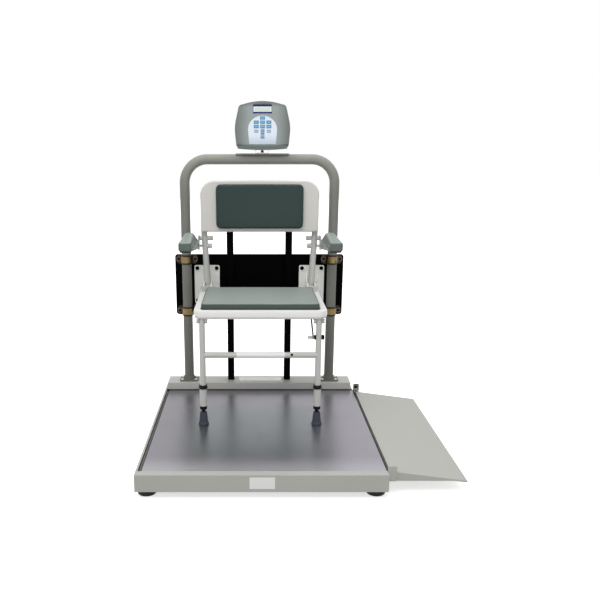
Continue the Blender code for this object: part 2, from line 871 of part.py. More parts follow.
def build_rail_flange(name, side):
    """A base plate with a socket ring round the tube and four bolt heads."""
    x = side * RAIL_HALF_SPAN
    low = CHANNEL_RISE + GAP
    outline = rectangle(
        around(x, FLANGE_WIDTH / 2), around(RAIL_Y, FLANGE_DEPTH / 2), FLANGE_CORNER
    )
    flange = plate(name, outline, "Z", (low, FLANGE_TOP))
    bore_radius = RAIL_RADIUS + GAP
    socket = rod(
        f"{name}_socket",
        bore_radius + SOCKET_WALL,
        "Z",
        (FLANGE_TOP - SINK, FLANGE_TOP + SOCKET_HEIGHT),
        (x, RAIL_Y),
        FINE_SIDES,
    )
    bore = rod(
        f"{name}_bore",
        bore_radius / math.cos(math.pi / FINE_SIDES),
        "Z",
        (FLANGE_TOP, FLANGE_TOP + SOCKET_HEIGHT + OVERRUN),
        (x, RAIL_Y),
        FINE_SIDES,
    )
    cut_from(join_to(flange, socket), bore)
    for u in (-1, 1):
        for v in (-1, 1):
            at = (
                x + u * (FLANGE_WIDTH / 2 - FLANGE_BOLT_INSET),
                RAIL_Y + v * (FLANGE_DEPTH / 2 - FLANGE_BOLT_INSET),
            )
            span = (FLANGE_TOP - SINK, FLANGE_TOP + HEAD_HEIGHT)
            join_to(flange, rod(f"{name}_bolt{u}{v}", HEAD_RADIUS, "Z", span, at))
    return finished(flange, grey_paint())


def build_cross_plate():
    outline = rectangle(around(0, PLATE_HALF_WIDTH), (PLATE_BOTTOM, PLATE_TOP), PLATE_CORNER)
    wide = plate("cross_plate", outline, "Y", (PLATE_FRONT, PLATE_FRONT + PLATE_THICKNESS))
    return finished(wide, black_paint())


def build_post(name, side):
    """A square tube on the rear channel, against the front of the cross plate."""
    x = side * POST_X
    back = PLATE_FRONT - GAP
    z = (CHANNEL_RISE + GAP, POST_TOP)
    middle = back - POST_WIDTH / 2
    post = block(name, around(x, POST_WIDTH / 2), around(middle, POST_WIDTH / 2), z)
    inside = POST_WIDTH / 2 - POST_WALL
    hollow = block(
        f"{name}_inside",
        around(x, inside),
        around(middle, inside),
        (z[0] - OVERRUN, z[1] + OVERRUN),
    )
    return finished(cut_from(post, hollow), black_paint())


def build_pipe_clamp(name, side, height):
    """A strap over the front of an upright, with an ear on the cross plate at each side."""
    x = side * RAIL_HALF_SPAN
    inner = RAIL_RADIUS + GAP
    outer = inner + CLAMP_WALL
    back = PLATE_FRONT - GAP
    ear_front = back - CLAMP_WALL
    front = [
        (x - CLAMP_HALF_WIDTH, back),
        (x - CLAMP_HALF_WIDTH, ear_front),
        (x - outer, ear_front),
    ]
    front += arc((x, RAIL_Y), outer, math.pi, 2 * math.pi, ROUND_SIDES)
    front += [
        (x + outer, ear_front),
        (x + CLAMP_HALF_WIDTH, ear_front),
        (x + CLAMP_HALF_WIDTH, back),
        (x + inner, back),
    ]
    behind = arc((x, RAIL_Y), inner, 2 * math.pi, math.pi, ROUND_SIDES)
    outline = front + behind + [(x - inner, back)]
    clamp = plate(name, outline, "Z", around(height, CLAMP_HEIGHT / 2))
    for u in (-1, 1):
        at = (x + u * (CLAMP_HALF_WIDTH - CLAMP_BOLT_INSET), height)
        span = (ear_front - HEAD_HEIGHT, ear_front + SINK)
        join_to(clamp, rod(f"{name}_bolt{u}", HEAD_RADIUS, "Y", span, at))
    return finished(clamp, yellow_zinc())


# Chair: brackets, backrest and armrests


def ear_faces():
    """The distances from the centre line to the four faces of a bracket's two ears."""
    inner = BACK_TUBE_RADIUS + GAP
    outer = inner + BRACKET_THICKNESS
    middle = BACK_FOOT_HALF_SPAN
    return (middle - outer, middle - inner), (middle + inner, middle + outer)


def build_seat_bracket(name, side):
    """A plate bolted to the cross plate, with two ears that carry the seat's hinge pin."""
    back = PLATE_FRONT - GAP
    front = back - BRACKET_THICKNESS
    x = span_at(side, BRACKET_X_IN, BRACKET_X_OUT)
    z = (BRACKET_BOTTOM, BRACKET_TOP)
    bracket = plate(name, rectangle(x, z, BRACKET_CORNER), "Y", (front, back))
    nose = arc((HINGE_Y, HINGE_Z), EAR_NOSE, 3 * math.pi / 2, math.pi / 2, 2 * CORNER_STEPS)
    root = front + SINK
    outline = [(root, EAR_ROOT_BOTTOM)] + nose
    outline += [(HINGE_Y + EAR_STEP, HINGE_Z + EAR_NOSE), (root, EAR_ROOT_TOP)]
    for number, (low, high) in enumerate(ear_faces()):
        ear = plate(f"{name}_ear{number}", outline, "X", span_at(side, low, high))
        join_to(bracket, ear)
    columns = {"inner": BRACKET_X_IN + BRACKET_BOLT_INSET, "outer": BRACKET_X_OUT - BRACKET_BOLT_INSET}
    rows = {"lower": BRACKET_BOTTOM + BRACKET_BOLT_INSET, "upper": BRACKET_TOP - BRACKET_BOLT_INSET}
    span = (front - HEAD_HEIGHT, front + SINK)
    for column, across in columns.items():
        for row, height in rows.items():
            at = (side * across, height)
            join_to(bracket, rod(f"{name}_{row}_{column}_bolt", HEAD_RADIUS, "Y", span, at))
    through = span_at(side, ear_faces()[0][0] - OVERRUN, ear_faces()[1][1] + OVERRUN)
    pin_hole = rod(
        f"{name}_pin_hole", PIN_RADIUS + RUNNING_GAP, "X", through, (HINGE_Y, HINGE_Z)
    )
    bolt_hole = rod(
        f"{name}_bolt_hole",
        BACK_BOLT_RADIUS + RUNNING_GAP,
        "X",
        through,
        (BACK_TUBE_Y, BACK_BOLT_Z),
    )
    return finished(cut_from(bracket, pin_hole, bolt_hole), white_paint())


def build_seat_hinge_pin(name, side):
    """A headed pin through both ears and both lugs of one side."""
    inner, outer = lug_faces()
    at = (HINGE_Y, HINGE_Z)
    low = inner[0] - GAP
    high = outer[1] + GAP
    span = span_at(side, low - SINK, high + SINK)
    pin = rod(name, PIN_RADIUS, "X", span, at)
    for end, head in enumerate(((low - PIN_HEAD_HEIGHT, low), (high, high + PIN_HEAD_HEIGHT))):
        join_to(pin, rod(f"{name}_head{end}", PIN_HEAD_RADIUS, "X", span_at(side, *head), at))
    return finished(pin, bright_steel())


def back_path(foot_z):
    """The backrest tube's centre line, from the left foot over the top to the right foot."""
    left = [
        (-BACK_FOOT_HALF_SPAN, BACK_TUBE_Y, foot_z),
        (-BACK_FOOT_HALF_SPAN, BACK_TUBE_Y, BACK_CURVE_BOTTOM),
        (-BACK_HALF_SPAN, BACK_TUBE_Y, BACK_CURVE_TOP),
        (-BACK_HALF_SPAN, BACK_TUBE_Y, BACK_TOP),
    ]
    right = [(-x, y, z) for x, y, z in reversed(left)]
    return bent_path(left + right, [0, 0, BACK_BEND, BACK_BEND, 0, 0])


def build_backrest_frame():
    """A bent tube with a cross bolt at each foot and a capped armrest stop on each side."""
    frame = tube("backrest_frame", back_path(BACK_FOOT_Z), BACK_TUBE_RADIUS)
    bore_radius = BACK_TUBE_RADIUS - BACK_TUBE_WALL
    bore_path = back_path(BACK_FOOT_Z - OVERRUN)
    cut_from(frame, tube("backrest_bore", bore_path, bore_radius, SMALL_SIDES))
    for word, side in SIDES.items():
        inner, outer = ear_faces()
        reach = (inner[0] - GAP - HEAD_HEIGHT, outer[1] + GAP + HEAD_HEIGHT)
        at = (BACK_TUBE_Y, BACK_BOLT_Z)
        join_to(
            frame, rod(f"foot_bolt_{word}", BACK_BOLT_RADIUS, "X", span_at(side, *reach), at)
        )
        for end, head in enumerate(((reach[0], inner[0] - GAP), (outer[1] + GAP, reach[1]))):
            join_to(
                frame,
                rod(f"foot_head{end}_{word}", HEAD_RADIUS, "X", span_at(side, *head), at),
            )
        stop_at = (BACK_TUBE_Y, ARM_STOP_Z)
        stop_out = BACK_HALF_SPAN + BACK_TUBE_RADIUS + ARM_OFFSET + ARM_PLATE
        stop = span_at(side, BACK_HALF_SPAN, stop_out)
        join_to(frame, rod(f"arm_stop_{word}", ARM_STOP_RADIUS, "X", stop, stop_at))
        cap = span_at(side, BACK_HALF_SPAN - BACK_TUBE_RADIUS - ARM_CAP_REACH, BACK_HALF_SPAN - SINK)
        join_to(frame, rod(f"arm_stop_cap_{word}", ARM_CAP_RADIUS, "X", cap, stop_at))
        hole = rod(
            f"arm_bolt_hole_{word}",
            ARM_BOLT_RADIUS + RUNNING_GAP,
            "X",
            span_at(
                side,
                BACK_HALF_SPAN - BACK_TUBE_RADIUS - OVERRUN,
                BACK_HALF_SPAN + BACK_TUBE_RADIUS + OVERRUN,
            ),
            (BACK_TUBE_Y, ARM_PIVOT_Z),
        )
        cut_from(frame, hole)
    return finished(frame, white_paint())


def shell_front():
    return BACK_TUBE_Y - BACK_TUBE_RADIUS - GAP - SHELL_THICKNESS


def build_backrest_shell():
    half = SHELL_HALF_WIDTH
    corners = [(-half, SHELL_BOTTOM), (half, SHELL_BOTTOM), (half, SHELL_TOP), (-half, SHELL_TOP)]
    radii = [SHELL_FOOT_CORNER, SHELL_FOOT_CORNER, SHELL_TOP_CORNER, SHELL_TOP_CORNER]
    outline = rounded(corners, radii, BEND_STEPS)
    shell = plate(
        "backrest_shell", outline, "Y", (shell_front(), shell_front() + SHELL_THICKNESS)
    )
    return finished(bevel(shell, SHELL_EDGE), white_shell())


# Lengths of a cushion's cage, as shares of its half sizes
CAGE_SHARES = (-1, -0.84, 0, 0.84, 1)


def cushion(name, x, y, z, top):
    """A padded block: crowned towards its top face, drawn in at its sides and its seat.

    The top is the axis and the sign of the face that is sat or leaned on.
    """
    axis, sign = top
    spans = (x, y, z)
    half = Vector([(high - low) / 2 for low, high in spans])
    middle = [(low + high) / 2 for low, high in spans]
    steps = len(CAGE_SHARES) - 1
    form = bmesh.new()
    bmesh.ops.create_cube(form, size=2)
    bmesh.ops.subdivide_edges(form, edges=form.edges, cuts=steps - 1, use_grid_fill=True)
    across = [number for number in range(3) if number != axis]
    for vert in form.verts:
        shares = [CAGE_SHARES[round((value + 1) / 2 * steps)] for value in vert.co]
        rise = shares[axis] * sign
        edge = max(abs(shares[number]) for number in across)
        tuck = PAD_TUCK * (1 - rise) / 2 if edge == 1 else 0
        for number in across:
            vert.co[number] = shares[number] * (half[number] - tuck)
        level = half[axis]
        if rise == 1:
            bulge = (1 - shares[across[0]] ** 2) * (1 - shares[across[1]] ** 2)
            level -= PAD_CROWN * (1 - bulge)
        vert.co[axis] = shares[axis] * level
    piece = place(name, mesh_from(name, form), middle)
    soften = piece.modifiers.new("Soft", "SUBSURF")
    soften.levels = soften.render_levels = 1
    piece.data.shade_smooth()
    return piece


def build_backrest_pad():
    back = shell_front() - GAP
    pad = cushion(
        "backrest_pad",
        around(0, BACK_PAD_HALF_WIDTH),
        (back - BACK_PAD_THICKNESS, back),
        (BACK_PAD_BOTTOM, BACK_PAD_TOP),
        (1, -1),
    )
    return finished(pad, dark_vinyl())


def arm_plate_faces():
    inner = BACK_HALF_SPAN + BACK_TUBE_RADIUS + ARM_OFFSET
    return inner, inner + ARM_PLATE


def build_arm_pivot_bolt(name, side):
    """The bolt an armrest turns on, with a capped spacer inside and a head outside."""
    at = (BACK_TUBE_Y, ARM_PIVOT_Z)
    tube_in = BACK_HALF_SPAN - BACK_TUBE_RADIUS - GAP
    tube_out = BACK_HALF_SPAN + BACK_TUBE_RADIUS + GAP
    inner, outer = arm_plate_faces()
    spacer = (tube_in - ARM_SPACER_LENGTH, tube_in)
    bolt = rod(name, ARM_BOLT_RADIUS, "X", span_at(side, tube_in - SINK, outer + GAP + SINK), at)
    collars = {
        "spacer": (ARM_SPACER_RADIUS, spacer),
        "shoulder": (ARM_SPACER_RADIUS, (tube_out, inner - GAP)),
        "head": (ARM_HEAD_RADIUS, (outer + GAP, outer + GAP + HEAD_HEIGHT)),
    }
    for word, (radius, span) in collars.items():
        join_to(bolt, rod(f"{name}_{word}", radius, "X", span_at(side, *span), at))
    return finished(bolt, bright_steel())


def build_arm(name, side, carrier):
    """A pivot plate with a heel that rests on the stop, a cross piece and a bar."""
    plate_x = arm_plate_faces()
    heel = BACK_TUBE_Y - ARM_STOP_RADIUS - GAP
    low = ARM_BAR_TOP - ARM_BAR_HEIGHT
    nose = arc((BACK_TUBE_Y, ARM_PIVOT_Z), ARM_NOSE, -math.pi / 4, math.pi / 2, CORNER_STEPS)
    outline = [
        (ARM_PLATE_FRONT, ARM_HEEL_BOTTOM),
        (heel, ARM_HEEL_BOTTOM),
        (heel, ARM_PIVOT_Z - ARM_NOSE),
    ]
    outline += nose + [(ARM_PLATE_FRONT, ARM_PIVOT_Z + ARM_NOSE)]
    arm = plate(name, outline, "X", span_at(side, *plate_x))
    bar_x = span_at(side, ARM_BAR_X - ARM_BAR_WIDTH / 2, ARM_BAR_X + ARM_BAR_WIDTH / 2)
    joint_x = span_at(side, plate_x[1] - SINK, ARM_BAR_X)
    bar = plate(
        f"{name}_bar",
        rectangle(bar_x, (ARM_BAR_FRONT, HINGE_Y), ARM_CORNER),
        "Z",
        (low, ARM_BAR_TOP),
    )
    foot = block(f"{name}_cross_piece", joint_x, (ARM_PLATE_FRONT, HINGE_Y), (low, ARM_BAR_TOP))
    join_to(arm, foot, bar)
    hole = rod(
        f"{name}_hole",
        ARM_BOLT_RADIUS + RUNNING_GAP,
        "X",
        span_at(side, plate_x[0] - OVERRUN, plate_x[1] + OVERRUN),
        (BACK_TUBE_Y, ARM_PIVOT_Z),
    )
    return finished(cut_from(arm, hole), white_paint(), carrier)


def build_arm_pad(name, side, carrier):
    """A cushion along the bar, narrower at its back."""
    low = ARM_BAR_TOP + GAP
    pad = cushion(
        name,
        span_at(side, ARM_BAR_X - ARM_PAD_WIDTH / 2, ARM_BAR_X + ARM_PAD_WIDTH / 2),
        (ARM_PAD_FRONT, ARM_PAD_BACK),
        (low, low + ARM_PAD_HEIGHT),
        (2, 1),
    )
    length = ARM_PAD_BACK - ARM_PAD_FRONT
    for vert in pad.data.vertices:
        back_share = vert.co.y / length + 1 / 2
        width = ARM_PAD_WIDTH + (ARM_PAD_BACK_WIDTH - ARM_PAD_WIDTH) * back_share
        vert.co.x *= width / ARM_PAD_WIDTH
    return finished(pad, seat_vinyl(), carrier)


# Chair: seat and legs


def lug_faces():
    """The distances from the centre line to the faces of the seat's two hinge lugs."""
    inner, outer = ear_faces()
    inner_face = inner[0] - SEAT_LUG_GAP
    outer_face = outer[1] + SEAT_LUG_GAP
    return (
        (inner_face - SEAT_LUG_THICKNESS, inner_face),
        (outer_face, outer_face + SEAT_LUG_THICKNESS),
    )


def leg_lug_faces():
    inner = LEG_X - LEG_RADIUS - LEG_LUG_GAP
    outer = LEG_X + LEG_RADIUS + LEG_LUG_GAP
    return (inner - LEG_LUG_THICKNESS, inner), (outer, outer + LEG_LUG_THICKNESS)


def seat_outline(margin):
    """The seat's plan, drawn in by a margin."""
    half = SEAT_HALF_WIDTH - margin
    front = SEAT_FRONT + margin
    back = SEAT_BACK - margin
    corners = [(-half, front), (half, front), (half, back), (-half, back)]
    front_corner = SEAT_FRONT_CORNER - margin
    back_corner = SEAT_BACK_CORNER - margin
    return rounded(corners, [front_corner, front_corner, back_corner, back_corner])


def build_seat_shell(carrier):
    """An upturned tray with a raised back edge, hinge lugs, leg lugs and the stay's eye."""
    shell = plate("seat_shell", seat_outline(0), "Z", (SEAT_BOTTOM, SEAT_RIM))
    bevel(shell, SEAT_EDGE)
    hollow = plate(
        "seat_inside",
        seat_outline(SEAT_WALL),
        "Z",
        (SEAT_BOTTOM - OVERRUN, SEAT_RIM - SEAT_WALL),
    )
    cut_from(shell, hollow)
    stand_x = SEAT_HALF_WIDTH - SEAT_BACK_CORNER
    stand_y = (SEAT_BACK - SEAT_STAND_DEPTH, SEAT_BACK)
    stand_low = (SEAT_BOTTOM + SEAT_RIM) / 2
    stand = block("seat_stand", around(0, stand_x), stand_y, (stand_low, SEAT_STAND_TOP))
    join_to(shell, stand)
    lug_low = stand_low + SINK
    lug = [(stand_y[0] + SINK, lug_low), (SEAT_BACK - SINK, lug_low)]
    lug += arc(
        (HINGE_Y, HINGE_Z), SEAT_LUG_NOSE, -math.pi / 4, math.pi / 2, 2 * CORNER_STEPS
    )
    lug += [(stand_y[0] + SINK, SEAT_STAND_TOP - SINK)]
    root = SEAT_RIM - SEAT_WALL + SINK
    leg_lug = [(LEG_Y + LEG_LUG_NOSE, root), (LEG_Y - LEG_LUG_NOSE, root)]
    leg_lug += arc((LEG_Y, LEG_PIVOT_Z), LEG_LUG_NOSE, math.pi, 2 * math.pi, 2 * CORNER_STEPS)
    for word, side in SIDES.items():
        for number, faces in enumerate(lug_faces()):
            join_to(shell, plate(f"hinge_lug{number}_{word}", lug, "X", span_at(side, *faces)))
        for number, faces in enumerate(leg_lug_faces()):
            join_to(shell, plate(f"leg_lug{number}_{word}", leg_lug, "X", span_at(side, *faces)))
        hinge = span_at(side, lug_faces()[0][0] - OVERRUN, lug_faces()[1][1] + OVERRUN)
        leg = span_at(side, leg_lug_faces()[0][0] - OVERRUN, leg_lug_faces()[1][1] + OVERRUN)
        cut_from(
            shell,
            rod(f"hinge_bore_{word}", PIN_RADIUS + RUNNING_GAP, "X", hinge, (HINGE_Y, HINGE_Z)),
            rod(
                f"leg_bore_{word}",
                LEG_BOLT_RADIUS + RUNNING_GAP,
                "X",
                leg,
                (LEG_Y, LEG_PIVOT_Z),
            ),
        )
    join_to(shell, stay_eye_plate(root))
    eye_x = around(EYE_PLATE_X + EYE_PLATE_THICKNESS / 2, EYE_PLATE_THICKNESS)
    eye = rod("stay_eye", STAY_RADIUS + RUNNING_GAP, "X", eye_x, (STAY_EYE_Y, STAY_EYE_Z))
    return finished(cut_from(shell, eye), white_shell(), carrier)


def stay_eye_plate(root):
    outline = [(STAY_EYE_Y + EYE_PLATE_ROOT, root), (STAY_EYE_Y - EYE_PLATE_ROOT, root)]
    outline += arc(
        (STAY_EYE_Y, STAY_EYE_Z), EYE_PLATE_NOSE, math.pi, 2 * math.pi, 2 * CORNER_STEPS
    )
    return plate(
        "stay_eye_plate", outline, "X", (EYE_PLATE_X, EYE_PLATE_X + EYE_PLATE_THICKNESS)
    )


def build_seat_pad(carrier):
    low = SEAT_RIM + GAP
    pad = cushion(
        "seat_pad",
        around(0, SEAT_PAD_HALF_WIDTH),
        (SEAT_PAD_FRONT, SEAT_PAD_BACK),
        (low, low + SEAT_PAD_HEIGHT),
        (2, 1),
    )
    return finished(pad, seat_vinyl(), carrier)


def build_leg_pivot_bolt(name, side, carrier):
    inner, outer = leg_lug_faces()
    at = (LEG_Y, LEG_PIVOT_Z)
    low = inner[0] - GAP
    high = outer[1] + GAP
    bolt = rod(name, LEG_BOLT_RADIUS, "X", span_at(side, low - SINK, high + SINK), at)
    for end, head in enumerate(((low - PIN_HEAD_HEIGHT, low), (high, high + PIN_HEAD_HEIGHT))):
        join_to(bolt, rod(f"{name}_head{end}", LEG_HEAD_RADIUS, "X", span_at(side, *head), at))
    return finished(bolt, black_plastic(), carrier)


def build_leg_frame(carrier):
    """Two tubes and the bar between them, open at the bottom and bored for the bolts."""
    bar_at = (LEG_Y, LEG_BAR_Z)
    frame = rod("leg_frame", LEG_RADIUS, "X", around(0, LEG_X), bar_at, ROUND_SIDES)
    hollow = rod("leg_bar_inside", LEG_RADIUS - LEG_WALL, "X", around(0, LEG_X), bar_at)
    holes = []
    for word, side in SIDES.items():
        at = (side * LEG_X, LEG_Y)
        upright = (LEG_TUBE_BOTTOM, LEG_TOP)
        join_to(frame, rod(f"leg_tube_{word}", LEG_RADIUS, "Z", upright, at, ROUND_SIDES))
        inside = (LEG_TUBE_BOTTOM - OVERRUN, LEG_TOP - LEG_WALL)
        join_to(hollow, rod(f"leg_inside_{word}", LEG_RADIUS - LEG_WALL, "Z", inside, at))
        through = span_at(side, LEG_X - LEG_RADIUS - OVERRUN, LEG_X + LEG_RADIUS + OVERRUN)
        holes.append(
            rod(
                f"pivot_hole_{word}",
                LEG_BOLT_RADIUS + RUNNING_GAP,
                "X",
                through,
                (LEG_Y, LEG_PIVOT_Z),
            )
        )
        if word == "right":
            radius = STAY_BOLT_RADIUS + RUNNING_GAP
            holes.append(rod("stay_hole", radius, "X", through, (LEG_Y, STAY_Z)))
    return finished(cut_from(frame, hollow, *holes), white_paint(), carrier)


def build_stay_bolt(carrier):
    """The bolt through the right leg: a knob on each side of the tube and the stay's journal."""
    at = (LEG_Y, STAY_Z)
    tube_in = LEG_X - LEG_RADIUS - GAP
    tube_out = LEG_X + LEG_RADIUS + GAP
    bolt = rod("stay_bolt", STAY_BOLT_RADIUS, "X", (STAY_BOLT_END, tube_out + SINK), at)
    knob = (tube_out, tube_out + KNOB_HEIGHT)
    join_to(bolt, rod("stay_knob", KNOB_RADIUS, "X", knob, at))
    collar = (STAY_X + STAY_BOSS_HALF + GAP, tube_in)
    join_to(bolt, rod("stay_collar", KNOB_RADIUS, "X", collar, at))
    keeper = (STAY_BOLT_END - HEAD_HEIGHT, STAY_X - STAY_BOSS_HALF - GAP)
    join_to(bolt, rod("stay_keeper", STAY_BOSS_RADIUS, "X", keeper, at))
    return finished(bolt, black_plastic(), carrier)


def build_stay_rod(carrier):
    """A thin rod from its boss on the bolt up to the eye under the seat."""
    start = Vector((STAY_X, LEG_Y, STAY_Z))
    eye = Vector((STAY_X, STAY_EYE_Y, STAY_EYE_Z))
    reach = eye - start
    end = eye + reach.normalized() * STAY_OVERHANG
    first = start + reach.normalized() * STAY_BOLT_RADIUS * 2
    stay = tube("stay_rod", [first, end], STAY_RADIUS, SMALL_SIDES)
    boss = rod(
        "stay_boss", STAY_BOSS_RADIUS + SINK, "X", around(STAY_X, STAY_BOSS_HALF), (LEG_Y, STAY_Z)
    )
    bore = rod(
        "stay_bore",
        STAY_BOLT_RADIUS + RUNNING_GAP,
        "X",
        around(STAY_X, STAY_BOSS_HALF + OVERRUN),
        (LEG_Y, STAY_Z),
    )
    return finished(cut_from(join_to(stay, boss), bore), bright_steel(), carrier)


def build_leg_sleeve(name, side, carrier):
    at = (side * LEG_X, LEG_Y)
    sleeve = rod(name, SLEEVE_RADIUS, "Z", (SLEEVE_BOTTOM, SLEEVE_TOP), at, ROUND_SIDES)
    bore = rod(
        f"{name}_bore",
        LEG_RADIUS + SLEEVE_PLAY,
        "Z",
        (SLEEVE_BOTTOM + SLEEVE_FLOOR, SLEEVE_TOP + OVERRUN),
        at,
        ROUND_SIDES,
    )
    return finished(cut_from(sleeve, bore), white_paint(), carrier)


def build_leg_collar(name, side, carrier):
    at = (side * LEG_X, LEG_Y)
    collar = rod(name, COLLAR_RADIUS, "Z", (SLEEVE_TOP + GAP, COLLAR_TOP), at, ROUND_SIDES)
    bore = rod(
        f"{name}_bore",
        LEG_RADIUS + SLEEVE_PLAY,
        "Z",
        (SLEEVE_TOP - OVERRUN, COLLAR_TOP + OVERRUN),
        at,
        ROUND_SIDES,
    )
    return finished(cut_from(collar, bore), black_plastic(), carrier)


def build_leg_stud(name, side, carrier):
    """The black cap under a sleeve, with the stud that the rubber tip is pushed on."""
    at = (side * LEG_X, LEG_Y)
    cap = rod(name, CAP_RADIUS, "Z", (CAP_BOTTOM, SLEEVE_BOTTOM - GAP), at, ROUND_SIDES)
    stud = rod(f"{name}_end", TIP_STUD_RADIUS, "Z", (TIP_TOP + GAP, CAP_BOTTOM + SINK), at)
    return finished(join_to(cap, stud), black_plastic(), carrier)


def build_leg_tip(name, side, carrier):
    """A bell of rubber that stands on the deck."""
    low = DECK_TOP + GAP
    waist = low + (TIP_TOP - low) * TIP_WAIST_SHARE
    foot = low + TIP_FOOT_HEIGHT
    profile = [
        (0, TIP_TOP),
        (TIP_NECK_RADIUS, TIP_TOP),
        (TIP_WAIST_RADIUS, waist),
        (TIP_FOOT_RADIUS, foot),
        (TIP_FOOT_RADIUS, low),
        (0, low),
    ]
    tip = turned(name, profile, (side * LEG_X, LEG_Y))
    return finished(tip, grey_rubber(), carrier)


# Ramp


def on_ramp(along, above):
    """A point of the sloping tread's own frame, whose origin is the hinge axis."""
    cosine = math.cos(RAMP_SLOPE)
    sine = math.sin(RAMP_SLOPE)
    return (
        RAMP_HINGE_X + along * cosine + above * sine,
        RAMP_HINGE_Z - along * sine + above * cosine,
    )


def ramp_bracket_places():
    """The face nearest the ramp, the outward direction, the right edge and the top of each."""
    return {
        "front": (
            RAMP_FRONT - RAMP_EAR_GAP,
            -1,
            RAMP_HINGE_X + RAMP_EAR_REACH_FRONT,
            RAMP_EAR_TOP_FRONT,
        ),
        "rear": (
            RAMP_BACK + RAMP_EAR_GAP,
            1,
            RAMP_HINGE_X + RAMP_EAR_REACH_BACK,
            RAMP_EAR_TOP_BACK,
        ),
    }


def build_ramp_bracket(name, end):
    """An ear on the platform's side, with the pin that carries one end of the ramp."""
    near, outward, right, top = ramp_bracket_places()[end]
    faces = sorted((near, near + outward * RAMP_EAR_THICKNESS))
    outline = rectangle(
        (HALF_WIDTH + GAP, right), (-RAMP_EAR_BOTTOM, top), RAMP_EAR_CORNER
    )
    ear = plate(name, outline, "Y", faces)
    pin_end = near - outward * (RAMP_EAR_GAP + RAMP_SKIRT + RAMP_EAR_THICKNESS)
    pin = rod(
        f"{name}_pin",
        RAMP_PIN_RADIUS,
        "Y",
        sorted((near + outward * SINK, pin_end)),
        (RAMP_HINGE_X, RAMP_HINGE_Z),
    )
    join_to(ear, pin)
    if end == "rear":
        lock = rod(
            "ramp_lock_hole",
            RAMP_LOCK_RADIUS,
            "Y",
            (faces[0] - OVERRUN, faces[1] + OVERRUN),
            (RAMP_HINGE_X, RAMP_HINGE_Z + RAMP_LOCK_RISE),
        )
        cut_from(ear, lock)
    return finished(ear, grey_paint())


def build_ramp_plate(carrier):
    """A sloping sheet with a turned-down edge all round, level below, and a lug at each end."""
    inner_x = on_ramp(0, -RAMP_DROP)[0]
    skirt_low = RAMP_HINGE_Z - RAMP_SKIRT_DEPTH
    tip_low = -RAMP_DROP - RAMP_TIP_DEPTH
    meet = (RAMP_SKIRT_DEPTH / math.cos(RAMP_SLOPE) + tip_low) / math.tan(RAMP_SLOPE)
    outline = [
        on_ramp(0, -RAMP_DROP),
        (inner_x, skirt_low),
        on_ramp(meet, tip_low),
        on_ramp(RAMP_REACH, tip_low),
        on_ramp(RAMP_REACH, -RAMP_DROP),
    ]
    ramp = plate("ramp_plate", outline, "Y", (RAMP_FRONT, RAMP_BACK))
    underside = -RAMP_DROP - RAMP_SHEET
    first = on_ramp(RAMP_SKIRT, underside)
    last = on_ramp(RAMP_REACH - RAMP_SKIRT, underside)
    below = skirt_low - OVERRUN
    hollow = [first, (first[0], below), (last[0], below), last]
    inside = (RAMP_FRONT + RAMP_SKIRT, RAMP_BACK - RAMP_SKIRT)
    cut_from(ramp, plate("ramp_inside", hollow, "Y", inside))
    root = RAMP_HINGE_X + 2 * RAMP_NOSE
    shoulder = [
        (RAMP_HINGE_X - RAMP_NOSE, RAMP_HINGE_Z),
        (inner_x, RAMP_HINGE_Z - 2 * RAMP_NOSE),
        (root, RAMP_HINGE_Z - 2 * RAMP_NOSE),
        (root, on_ramp(2 * RAMP_NOSE, -RAMP_DROP)[1] - SINK),
        (RAMP_HINGE_X + RAMP_NOSE, RAMP_HINGE_Z),
    ]
    at = (RAMP_HINGE_X, RAMP_HINGE_Z)
    for word, edge, inward in (("front", RAMP_FRONT, 1), ("rear", RAMP_BACK, -1)):
        faces = sorted((edge, edge + inward * RAMP_SKIRT))
        lug = rod(f"ramp_lug_{word}", RAMP_NOSE, "Y", faces, at, ROUND_SIDES)
        join_to(ramp, plate(f"ramp_shoulder_{word}", shoulder, "Y", faces), lug)
        through = (faces[0] - OVERRUN, faces[1] + OVERRUN)
        bore = rod(f"ramp_bore_{word}", RAMP_PIN_RADIUS + RUNNING_GAP, "Y", through, at)
        cut_from(ramp, bore)
    return finished(ramp, grey_paint(), carrier)


# Display


def head_point(along, above, back):
    """A point of the tilted head: along its width, up its face and back from its face."""
    sine = math.sin(HEAD_TILT)
    cosine = math.cos(HEAD_TILT)
    up = above - HEAD_PIVOT_RISE
    depth = back - HEAD_PIVOT_BACK
    return Vector(
        (
            DISPLAY_X + along,
            RAIL_Y + up * sine + depth * cosine,
            TILT_Z + up * cosine - depth * sine,
        )
    )


def head_piece(name, outline, back):
    """A flat outline on the head's face plane, filled between two depths behind the face."""
    piece = plate(name, outline, "Y", back)
    middle = (back[0] + back[1]) / 2
    piece.location = head_point(0, 0, middle)
    piece.rotation_euler = (math.pi / 2 - HEAD_TILT, 0, 0)
    return piece


def head_rod(name, radius, at_depth, along, above):
    """A rod square to the head's face, between two depths behind the face."""
    piece = rod(name, radius, "Y", at_depth, (0, 0))
    piece.location = head_point(along, above, (at_depth[0] + at_depth[1]) / 2)
    piece.rotation_euler = (-math.pi / 2 - HEAD_TILT, 0, 0)
    return piece


